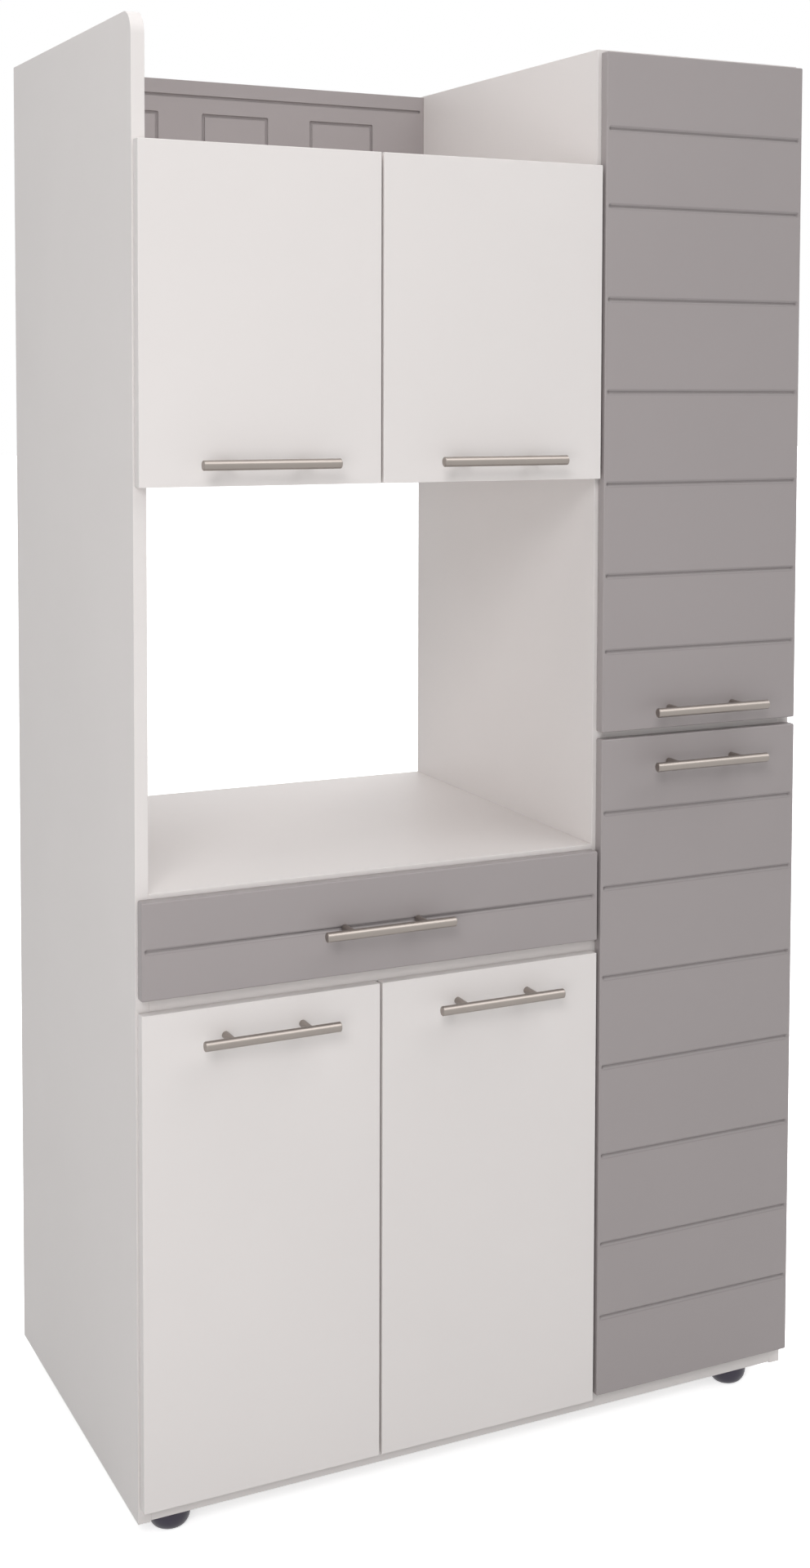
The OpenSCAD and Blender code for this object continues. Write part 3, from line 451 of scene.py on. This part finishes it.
def wood_matter():
    """Pressed chips, fibres or sawn grain: a light and a dark tone broken up by stretched cells."""
    group, start, end = shared_group(
        "Wood matter",
        [("Light", "NodeSocketColor", (1, 1, 1, 1)), ("Dark", "NodeSocketColor", (0, 0, 0, 1)),
         ("Stretch", "NodeSocketVector", (1, 1, 1)), ("Chip Scale", "NodeSocketFloat", 400.0),
         ("Depth", "NodeSocketFloat", 0.3)],
        [("Color", "NodeSocketColor"), ("Normal", "NodeSocketVector")],
    )
    if not start:
        return group
    place = add_node(group, "ShaderNodeTexCoord").outputs["Object"]
    along = add_node(group, "ShaderNodeMapping",
                     {"Vector": place, "Scale": start.outputs["Stretch"]})
    chips = add_node(group, "ShaderNodeTexVoronoi",
                     {"Vector": along.outputs[0], "Scale": start.outputs["Chip Scale"]})
    fibres = add_node(group, "ShaderNodeTexNoise", {
        "Vector": along.outputs[0], "Scale": start.outputs["Chip Scale"], "Detail": 3.0})
    tone = add_node(group, "ShaderNodeMath", {
        0: chips.outputs["Distance"], 1: fibres.outputs["Fac"]}, operation="MULTIPLY")
    spread = add_node(group, "ShaderNodeMapRange", {
        "Value": tone.outputs[0], "From Min": 0.05, "From Max": 0.45})
    mixed = add_node(group, "ShaderNodeMix", data_type="RGBA")
    feeds = ((spread.outputs[0], 0), (start.outputs["Light"], 6), (start.outputs["Dark"], 7))
    for value, key in feeds:
        group.links.new(value, mixed.inputs[key])
    group.links.new(mixed.outputs[2], end.inputs["Color"])
    bump = add_node(group, "ShaderNodeBump", {
        "Strength": start.outputs["Depth"], "Distance": 0.0003, "Height": tone.outputs[0]})
    group.links.new(bump.outputs["Normal"], end.inputs["Normal"])
    return group


def finish_from(name, group, values, constants):
    """A Principled finish fed by a shared group; same-everywhere values sit on the shader."""
    made = bpy.data.materials.get(name)
    if made:
        return made
    finish = bpy.data.materials.new(name)
    finish.use_nodes = True
    tree = finish.node_tree
    shader = next(n for n in tree.nodes if n.type == "BSDF_PRINCIPLED")
    effect = add_node(tree, "ShaderNodeGroup", node_tree=group)
    for key, value in values.items():
        effect.inputs[key].default_value = value
    feeds = (("Color", "Base Color"), ("Roughness", "Roughness"), ("Normal", "Normal"))
    for source, target in feeds:
        if source in effect.outputs:
            tree.links.new(effect.outputs[source], shader.inputs[target])
    for key, value in constants.items():
        shader.inputs[key].default_value = value
    return finish


def rgba(colour, shade=1.0):
    return (colour[0] * shade, colour[1] * shade, colour[2] * shade, 1)


def finish(kind):
    """One of the cabinet's finishes, made when it is first asked for."""
    tints = bpy.context.scene.cabinet_finishes
    if kind == "white board":
        return finish_from(kind, pressed_skin(), {
            "Tint": rgba(tints.white), "Clouding": 0.012, "Grain Scale": 700.0,
            "Grain Depth": 0.10, "Roughness": 0.46, "Handling": 0.10}, {})
    if kind in ("grey foil", "grey board"):
        return finish_from(kind, pressed_skin(), {
            "Tint": rgba(tints.grey), "Clouding": 0.015, "Grain Scale": 1100.0,
            "Grain Depth": 0.08, "Roughness": 0.42, "Handling": 0.08,
            # Painted shade: the foil's grooves get the full painted groove shade, the gallery
            # board's lines a tenth of it.
            "Painted Shade": 1.0 if kind == "grey foil" else 0.1}, {})
    if kind == "foot plastic":
        return finish_from(kind, pressed_skin(), {
            "Tint": rgba(tints.plastic), "Clouding": 0.05, "Grain Scale": 1500.0,
            "Grain Depth": 0.25, "Roughness": 0.38, "Handling": 0.15}, {})
    if kind == "handle steel":
        return finish_from(kind, drawn_metal(), {
            "Tint": rgba(tints.steel), "Streaks": (14, 1500, 1500), "Streak Depth": 0.12,
            "Roughness": 0.38, "Sheen Swing": 0.12, "Staining": 0.06}, {"Metallic": 1.0})
    if kind == "zinc":
        return finish_from(kind, drawn_metal(), {
            "Tint": rgba(tints.zinc), "Streaks": (500, 60, 500), "Streak Depth": 0.10,
            "Roughness": 0.38, "Sheen Swing": 0.16, "Staining": 0.12}, {"Metallic": 1.0})
    if kind == "board core":
        return finish_from(kind, wood_matter(), {
            "Light": rgba(tints.core), "Dark": rgba(tints.core, 0.55), "Stretch": (1, 1, 1),
            "Chip Scale": 420.0, "Depth": 0.5}, {"Roughness": 0.9})
    if kind == "hardboard":
        return finish_from(kind, wood_matter(), {
            "Light": rgba(tints.hardboard), "Dark": rgba(tints.hardboard, 0.72),
            "Stretch": (1, 1, 1), "Chip Scale": 900.0, "Depth": 0.25}, {"Roughness": 0.75})
    if kind == "beech":
        return finish_from(kind, wood_matter(), {
            "Light": rgba(tints.beech), "Dark": rgba(tints.beech, 0.7), "Stretch": (0.08, 1, 1),
            "Chip Scale": 900.0, "Depth": 0.2}, {"Roughness": 0.65})
    raise ValueError(f"no finish is called {kind}")


# ---- operators ----


class PieceOperator:
    """What the operators share: they report what they made, or raise."""

    bl_options = {"REGISTER", "UNDO"}

    def done(self, made):
        if not made:
            raise RuntimeError(f"{self.bl_label}: nothing was made")
        self.report({"INFO"}, f"{self.bl_label}: {made} pieces")
        return {"FINISHED"}


class CABINET_OT_carcass(PieceOperator, bpy.types.Operator):
    """Uprights, base and fixed boards of white melamine, with raw rear edges"""

    bl_idname = "cabinet.carcass"
    bl_label = "Carcass boards"

    def execute(self, context):
        sizes = context.scene.cabinet_sizes
        white, core = finish("white board"), finish("board core")
        boards = (
            "left_side_panel", "divider_panel", "right_side_panel", "base_panel", "drawer_shelf",
            "microwave_deck", "upper_cabinet_bottom", "upper_cabinet_top", "column_top_panel",
            "column_fixed_shelf",
        )
        for node in boards:
            dressed_board(
                node, "carcass", white, core, sizes.board_edge, raw={REAR},
                corner_radius=sizes.corner_radius if node == "left_side_panel" else 0,
            )
        dressed_board(
            "gallery_back_board", "carcass", finish("grey board"), core,
            sizes.board_edge, groove=sizes.groove_depth,
        )
        return self.done(len(boards) + 1)


class CABINET_OT_shelves(PieceOperator, bpy.types.Operator):
    """Loose shelves of the lower cupboard and the column, with the pins that carry them"""

    bl_idname = "cabinet.shelves"
    bl_label = "Shelves and pins"

    def execute(self, context):
        sizes = context.scene.cabinet_sizes
        white, core = finish("white board"), finish("board core")
        shelves = ["lower_cabinet_shelf"] + [f"column_shelf_{i}" for i in range(1, 5)]
        for node in shelves:
            dressed_board(node, "carcass", white, core, sizes.board_edge, raw={REAR})
        stamped("shelf_pins", "carcass", finish("zinc"), 2 * sizes.stamped_edge)
        return self.done(len(shelves) + 1)


class CABINET_OT_back_sheets(PieceOperator, bpy.types.Operator):
    """Hardboard back sheets, white inside and brown behind"""

    bl_idname = "cabinet.back_sheets"
    bl_label = "Back sheets"

    def execute(self, context):
        sheets = ("lower_back_sheet", "column_back_sheet")
        for node in sheets:
            dressed_board(
                node, "carcass", finish("white board"), finish("hardboard"),
                SHEET_EDGE, raw={REAR, X_LOW, X_HIGH, BELOW, ABOVE},
            )
        return self.done(len(sheets))


class CABINET_OT_doors(PieceOperator, bpy.types.Operator):
    """Four white doors and the two grooved grey doors of the column"""

    bl_idname = "cabinet.doors"
    bl_label = "Doors"

    def execute(self, context):
        sizes = context.scene.cabinet_sizes
        core = finish("board core")
        for name in DOORS:
            grey = name in GREY_DOORS
            dressed_board(
                f"{name}_door", f"{name}_door",
                finish("grey foil" if grey else "white board"), core,
                sizes.foil_edge if grey else sizes.door_edge,
                groove=sizes.groove_depth if grey else 0,
            )
        return self.done(len(DOORS))


class CABINET_OT_drawer(PieceOperator, bpy.types.Operator):
    """The drawer: its grooved front, box boards and thin bottom"""

    bl_idname = "cabinet.drawer"
    bl_label = "Drawer"

    def execute(self, context):
        sizes = context.scene.cabinet_sizes
        white, core = finish("white board"), finish("board core")
        dressed_board(
            "drawer_front", "drawer", finish("grey foil"), core, sizes.foil_edge,
            groove=sizes.groove_depth,
        )
        for node in ("drawer_left_side", "drawer_right_side", "drawer_back"):
            dressed_board(node, "drawer", white, core, sizes.board_edge)
        dressed_board(
            "drawer_bottom", "drawer", white, finish("hardboard"), SHEET_EDGE,
            raw={REAR, X_LOW, X_HIGH, BELOW},
        )
        return self.done(5)


class CABINET_OT_handles(PieceOperator, bpy.types.Operator):
    """Satin bar handles on two posts, each screwed on from behind"""

    bl_idname = "cabinet.handles"
    bl_label = "Handles"

    def execute(self, context):
        sizes = context.scene.cabinet_sizes
        steel = finish("handle steel")
        bodies = {name: f"{name}_door" for name in DOORS} | {"drawer": "drawer"}
        for name, body in bodies.items():
            lo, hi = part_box(f"{name}_handle_bar")
            middle, half = (lo + hi) / 2, (hi.x - lo.x) / 2
            r, c = sizes.bar_radius, sizes.bar_chamfer
            bar = turned([
                (0, -half), (r - 1.2 * c, -half), (r - c, 0.06 * c - half),
                (r - 0.3 * c, 0.62 * c - half), (r, c - half), (r, half - c),
                (r - 0.3 * c, half - 0.62 * c), (r - c, half - 0.06 * c), (r - 1.2 * c, half),
                (0, half)], 64)
            bar.transform(aimed(middle, (1, 0, 0)))
            settle(bar, f"{name}_bar", body, [steel], [f"{name}_handle_bar"])

            low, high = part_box(f"{name}_handle_posts")
            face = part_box("drawer_front" if name == "drawer" else f"{name}_door")
            posts = bmesh.new()
            p, reach = sizes.post_radius, face[0].y - middle.y
            for way in (-1, 1):
                x = middle.x + way * sizes.post_pitch / 2
                post = turned([
                    (0, 0), (p - 0.25 * MM, 0), (p, 0.25 * MM), (p, reach - 3.5 * MM),
                    (0, reach - 3.5 * MM)], 48)
                join(posts, post, aimed((x, face[0].y, middle.z), (0, -1, 0)))
                behind = screw(4 * MM, high.y - face[1].y, 2 * MM, face[1].y - face[0].y, 32)
                join(posts, behind, aimed((x, face[1].y, middle.z), (0, 1, 0)))
            settle(posts, f"{name}_posts", body, [steel], [f"{name}_handle_posts"])
        return self.done(2 * len(bodies))


class CABINET_OT_hinges(PieceOperator, bpy.types.Operator):
    """Concealed hinges: arms and plates on the uprights, cups and flanges in the doors"""

    bl_idname = "cabinet.hinges"
    bl_label = "Hinges"

    def execute(self, context):
        sizes = context.scene.cabinet_sizes
        zinc = finish("zinc")

        def adjusters(bm):
            for places in solids("hinge_arms"):
                lo, hi = corner(places, min), corner(places, max)
                way = 1 if hi.x < 0 and lo.x < -0.4 else -1
                mount = lo.x if way > 0 else hi.x
                point = (mount + way * (ARM_TOP - MM), hi.y - ADJUSTER_BACK, (lo.z + hi.z) / 2)
                join(bm, screw(2.8 * MM, 0.9 * MM, 1.6 * MM, 9 * MM), aimed(point, (way, 0, 0)))

        stamped("hinge_arms", "carcass", zinc, sizes.stamped_edge, adjusters)
        for name, hung in DOORS.items():
            node = f"{name}_hinge_cups"

            def heads(bm):
                for places in solids(node):
                    lo, hi = corner(places, min), corner(places, max)
                    x = lo.x + FLANGE_OUT if hung == LEFT else hi.x - FLANGE_OUT
                    for way in (-1, 1):
                        height = (lo.z + hi.z) / 2 + way * FLANGE_HALF
                        join(bm, screw(3.65 * MM, FLANGE_THICK, 1.0 * MM, 1.5 * MM),
                             aimed((x, hi.y - FLANGE_THICK, height), (0, 1, 0)))

            stamped(node, f"{name}_door", zinc, sizes.stamped_edge, heads)
        return self.done(1 + len(DOORS))


class CABINET_OT_runners(PieceOperator, bpy.types.Operator):
    """Three nested steel channels on each side of the drawer"""

    bl_idname = "cabinet.runners"
    bl_label = "Drawer runners"

    def execute(self, context):
        zinc = finish("zinc")
        edge = context.scene.cabinet_sizes.stamped_edge
        stamped("cabinet_runners", "carcass", zinc, edge)
        stamped("runner_middles", "runner_middles", zinc, edge)
        stamped("drawer_runners", "drawer", zinc, edge)
        return self.done(3)


class CABINET_OT_fittings(PieceOperator, bpy.types.Operator):
    """Cam locks with cross slots, the bolts they pull on, and beech dowels"""

    bl_idname = "cabinet.fittings"
    bl_label = "Cams, bolts and dowels"

    def execute(self, context):
        cams = bmesh.new()
        for places in solids("cam_locks"):
            lo, hi = corner(places, min), corner(places, max)
            r, h = (hi.x - lo.x) / 2, hi.z - lo.z
            cam = turned([
                (0, 0), (r, 0), (r, h - 0.9 * MM), (r - 0.4 * MM, h - 0.3 * MM),
                (r - 1.1 * MM, h), (0, h)], 32)
            cross_recess(cam, 2.2 * MM, 5.2 * MM, h - 0.3 * MM, 2.5 * MM)
            base = Vector(((lo.x + hi.x) / 2, (lo.y + hi.y) / 2, hi.z))
            join(cams, cam, aimed(base, (0, 0, -1)))
        settle(cams, "cam_discs", "carcass", [finish("zinc")], ["cam_locks"])

        bolts = bmesh.new()
        for places in solids("connecting_bolts"):
            lo, hi = corner(places, min), corner(places, max)
            r, length = (hi.z - lo.z) / 2, hi.x - lo.x
            bolt = turned([
                (0, 0), (r - 0.4 * MM, 0), (r, 0.4 * MM), (r, length - 5 * MM),
                (0.6 * r, length - 4 * MM), (0.6 * r, length - 2 * MM), (r, length - 1.2 * MM),
                (r, length - 0.3 * MM), (r - 0.3 * MM, length), (0, length)], 24)
            join(bolts, bolt, aimed((lo.x, (lo.y + hi.y) / 2, (lo.z + hi.z) / 2), (1, 0, 0)))
        settle(bolts, "cam_bolts", "carcass", [finish("zinc")],
               ["connecting_bolts"])

        dowels = bmesh.new()
        for places in solids("wood_dowels"):
            lo, hi = corner(places, min), corner(places, max)
            size = hi - lo
            axis = max(range(3), key=lambda a: size[a])
            r, length = min(size) / 2, size[axis]
            dowel = turned([
                (0, 0), (r - MM, 0), (r, MM), (r, length - MM), (r - MM, length), (0, length)], 24)
            start = (lo + hi) / 2
            start[axis] = lo[axis]
            join(dowels, dowel, aimed(start, [1 if a == axis else 0 for a in range(3)]))
        settle(dowels, "beech_dowels", "carcass", [finish("beech")], ["wood_dowels"])
        return self.done(3)


class CABINET_OT_screws(PieceOperator, bpy.types.Operator):
    """Pan-head screws of the hinge plates, runners, back sheets, feet and drawer box"""

    bl_idname = "cabinet.screws"
    bl_label = "Screws"

    def execute(self, context):
        for node, body in (("carcass_screws", "carcass"), ("drawer_screws", "drawer")):
            screws = bmesh.new()
            pegs = bmesh.new()
            for places in solids(node):
                end, direction, widest, length = screw_pose(places)
                if widest > PEG_RADIUS:
                    r = widest
                    peg = turned([
                        (0, 0), (r - MM, 0), (r, MM), (r, length - MM), (r - MM, length),
                        (0, length)], 24)
                    join(pegs, peg, aimed(end, -direction))
                    continue
                head = 1.2 * MM
                seat = end - direction * head
                join(screws, screw(widest, head, 1.75 * MM, length - head), aimed(seat, direction))
            settle(screws, f"{body}_screw_set", body, [finish("zinc")], [node])
            if pegs.verts:
                settle(pegs, f"{body}_pegs", body, [finish("beech")])
            else:
                pegs.free()
        return self.done(2)


class CABINET_OT_feet(PieceOperator, bpy.types.Operator):
    """Bowl-shaped plastic feet with a rolled rim and a sunk screw"""

    bl_idname = "cabinet.feet"
    bl_label = "Feet"

    def execute(self, context):
        feet = bmesh.new()
        for places in solids("feet"):
            lo, hi = corner(places, min), corner(places, max)
            r, h = (hi.x - lo.x) / 2, hi.z - lo.z
            tread, flank, rim = r - 11 * MM, 11 * MM, 8 * MM
            curve = [
                (tread + flank * math.sin(math.radians(a)),
                 (h - rim) * (1 - math.cos(math.radians(a)))) for a in range(6, 91, 6)]
            profile = [(3.55 * MM, 0.6 * MM), (4.1 * MM, 0), (tread - 2.2 * MM, 0),
                       (tread - 1.8 * MM, 0.35 * MM), (tread - 1.4 * MM, 0), (tread, 0)]
            profile += curve
            profile += [(r, h - 3.2 * MM), (r - 0.5 * MM, h - 2.9 * MM),
                        (r - 0.5 * MM, h - 2.3 * MM), (r, h - 2.0 * MM),
                        (r, h - 0.5 * MM), (r - 0.5 * MM, h),
                        (1.8 * MM, h), (1.8 * MM, h - 4 * MM), (3.55 * MM, h - 4 * MM)]
            foot = turned(profile, 64, closed=True)
            join(feet, foot, Matrix.Translation(((lo.x + hi.x) / 2, (lo.y + hi.y) / 2, lo.z)))
        settle(feet, "plastic_feet", "carcass", [finish("foot plastic")], ["feet"])
        return self.done(1)


def mirrored_rays(tree, rays):
    """One where a reflection or a see-through ray looks, else nought."""
    return add_node(tree, "ShaderNodeMath", {
        0: rays.outputs["Is Glossy Ray"], 1: rays.outputs["Is Transmission Ray"]},
        operation="MAXIMUM").outputs[0]


class CABINET_OT_stage(PieceOperator, bpy.types.Operator):
    """Pale floor, soft lamps, surround and the camera"""

    bl_idname = "cabinet.stage"
    bl_label = "Stage"

    def floor(self):
        bm = bmesh.new()
        bmesh.ops.create_grid(bm, x_segments=1, y_segments=1, size=STAGE_REACH)
        mesh = bpy.data.meshes.new("stage_floor")
        bm.to_mesh(mesh)
        bm.free()
        floor = bpy.data.objects.new("stage_floor", mesh)
        bpy.context.scene.collection.objects.link(floor)
        surface = bpy.data.materials.new("stage floor")
        surface.use_nodes = True
        tree = surface.node_tree
        tree.nodes.remove(next(n for n in tree.nodes if n.type == "BSDF_PRINCIPLED"))
        out = next(n for n in tree.nodes if n.type == "OUTPUT_MATERIAL")
        colour = rgba(bpy.context.scene.cabinet_finishes.floor)
        plain = add_node(tree, "ShaderNodeBsdfDiffuse", {"Color": colour})
        seen = add_node(tree, "ShaderNodeBsdfDiffuse", {"Color": (1, 1, 1, 1)})
        lift = add_node(tree, "ShaderNodeEmission", {"Color": (1, 1, 1, 1), "Strength": 0.6})
        bright = add_node(tree, "ShaderNodeAddShader", {0: seen.outputs[0], 1: lift.outputs[0]})
        mirrored = add_node(tree, "ShaderNodeEmission", {"Color": (1, 1, 1, 1), "Strength": 1.0})
        rays = add_node(tree, "ShaderNodeLightPath")
        viewed = add_node(tree, "ShaderNodeMixShader", {
            0: rays.outputs["Is Camera Ray"], 1: plain.outputs[0], 2: bright.outputs[0]})
        pick = add_node(tree, "ShaderNodeMixShader", {
            0: mirrored_rays(tree, rays), 1: viewed.outputs[0], 2: mirrored.outputs[0]})
        tree.links.new(pick.outputs[0], out.inputs["Surface"])
        mesh.materials.append(surface)

    def surround(self, strength):
        """White where it is seen; as light, a room that is open to the right and behind."""
        world = bpy.data.worlds.new("stage surround")
        bpy.context.scene.world = world
        world.use_nodes = True
        tree = world.node_tree
        light = next(n for n in tree.nodes if n.type == "BACKGROUND")
        light.inputs["Color"].default_value = (1, 1, 1, 1)
        ways = add_node(tree, "ShaderNodeSeparateXYZ",
                        {0: add_node(tree, "ShaderNodeTexCoord").outputs["Generated"]})
        across = add_node(tree, "ShaderNodeMapRange", {
            "Value": ways.outputs["X"], "From Min": -0.9, "From Max": 0.1,
            "To Min": 0.0, "To Max": strength})
        deep = add_node(tree, "ShaderNodeMapRange", {
            "Value": ways.outputs["Y"], "From Min": -0.4, "From Max": 0.4,
            "To Min": 0.3, "To Max": 2.8})
        glow = add_node(tree, "ShaderNodeMath", {0: across.outputs[0], 1: deep.outputs[0]},
                        operation="MULTIPLY")
        tree.links.new(glow.outputs[0], light.inputs["Strength"])
        white = add_node(tree, "ShaderNodeBackground", {"Color": (1, 1, 1, 1), "Strength": 1.0})
        out = next(n for n in tree.nodes if n.type == "OUTPUT_WORLD")
        rays = add_node(tree, "ShaderNodeLightPath")
        seen = add_node(tree, "ShaderNodeMath", {
            0: rays.outputs["Is Camera Ray"], 1: mirrored_rays(tree, rays)}, operation="MAXIMUM")
        pick = add_node(tree, "ShaderNodeMixShader", {
            0: seen.outputs[0], 1: light.outputs[0], 2: white.outputs[0]})
        tree.links.new(pick.outputs[0], out.inputs["Surface"])

    def hang(self, name, data, place, ahead):
        """A lamp object at a place, shining along a direction."""
        lamp = bpy.data.objects.new(name, data)
        lamp.location = place
        lamp.rotation_euler = Vector(ahead).to_track_quat("-Z", "Y").to_euler()
        bpy.context.scene.collection.objects.link(lamp)
        return lamp

    def lamp(self, name, place, target, power, size, glints=True):
        """A round soft lamp; without glints, metal doesn't mirror it."""
        data = bpy.data.lights.new(name, "AREA")
        data.shape, data.size, data.energy = "DISK", size, power
        ahead = Vector(target) - Vector(place)
        self.hang(name, data, place, ahead).visible_glossy = glints

    def far_lamp(self, name, comes_from, strength, spread):
        """A broad lamp so far off that it lights the whole height alike."""
        data = bpy.data.lights.new(name, "SUN")
        data.energy, data.angle = strength, math.radians(spread)
        self.hang(name, data, (0, 0, 0), -Vector(comes_from))

    def camera(self):
        data = bpy.data.cameras.new("view_camera")
        data.sensor_width, data.lens = 36, 48.40
        data.shift_x, data.shift_y = -0.10625, -0.18300
        data.clip_end = 100
        yaw, pitch, roll = math.radians(28.17), math.radians(-3.45), math.radians(0.42)
        ahead = Vector((math.sin(yaw) * math.cos(pitch), math.cos(yaw) * math.cos(pitch),
                        math.sin(pitch)))
        side = Vector((math.cos(yaw), -math.sin(yaw), 0))
        up = side.cross(ahead)
        x = math.cos(roll) * side + math.sin(roll) * up
        y = math.cos(roll) * up - math.sin(roll) * side
        turn = Matrix((x, y, -ahead)).transposed().to_4x4()
        camera = bpy.data.objects.new("view_camera", data)
        camera.matrix_world = Matrix.Translation((-1.14087, -2.59822, 1.38023)) @ turn
        bpy.context.scene.collection.objects.link(camera)
        bpy.context.scene.camera = camera

    def execute(self, context):
        context.scene.view_settings.view_transform = "Standard"
        self.floor()
        self.surround(0.64)
        self.lamp("front", (-3.4, -5.8, 4.4), (0, -0.2, 0.9), 168, 3.0, glints=False)
        self.lamp("low", (-2.1, -3.1, 1.0), (0, -0.2, 0.9), 27, 1.6, glints=False)
        self.lamp("top", (-0.7, -0.6, 3.0), (0, 0.1, 1.5), 5, 0.8)
        self.far_lamp("right", (0.37, -0.46, 0.80), 0.7, 36)
        self.camera()
        return self.done(1)


class CABINET_PT_panel(bpy.types.Panel):
    """Sidebar panel with the sizes, the finishes and the pieces in the order they are made"""

    bl_idname = "CABINET_PT_panel"
    bl_label = "Microwave Cabinet"
    bl_space_type = "VIEW_3D"
    bl_region_type = "UI"
    bl_category = "Cabinet"

    def draw(self, context):
        for group in (context.scene.cabinet_sizes, context.scene.cabinet_finishes):
            box = self.layout.box()
            for key in group.bl_rna.properties.keys():
                if key not in ("rna_type", "name"):
                    box.prop(group, key)
        for operator in OPERATORS:
            self.layout.operator(operator.bl_idname, text=operator.bl_label)


OPERATORS = (
    CABINET_OT_stage, CABINET_OT_carcass, CABINET_OT_shelves, CABINET_OT_back_sheets,
    CABINET_OT_doors, CABINET_OT_drawer, CABINET_OT_handles, CABINET_OT_hinges,
    CABINET_OT_runners, CABINET_OT_fittings, CABINET_OT_screws, CABINET_OT_feet,
)
CLASSES = (CabinetSizes, CabinetFinishes, *OPERATORS, CABINET_PT_panel)


def register():
    for item in CLASSES:
        bpy.utils.register_class(item)
    bpy.types.Scene.cabinet_sizes = bpy.props.PointerProperty(type=CabinetSizes)
    bpy.types.Scene.cabinet_finishes = bpy.props.PointerProperty(type=CabinetFinishes)


def unregister():
    del bpy.types.Scene.cabinet_finishes
    del bpy.types.Scene.cabinet_sizes
    for item in reversed(CLASSES):
        bpy.utils.unregister_class(item)


def main():
    register()
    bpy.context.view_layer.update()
    for operator in OPERATORS:
        group, name = operator.bl_idname.split(".")
        getattr(getattr(bpy.ops, group), name)()


if __name__ == "__main__":
    main()
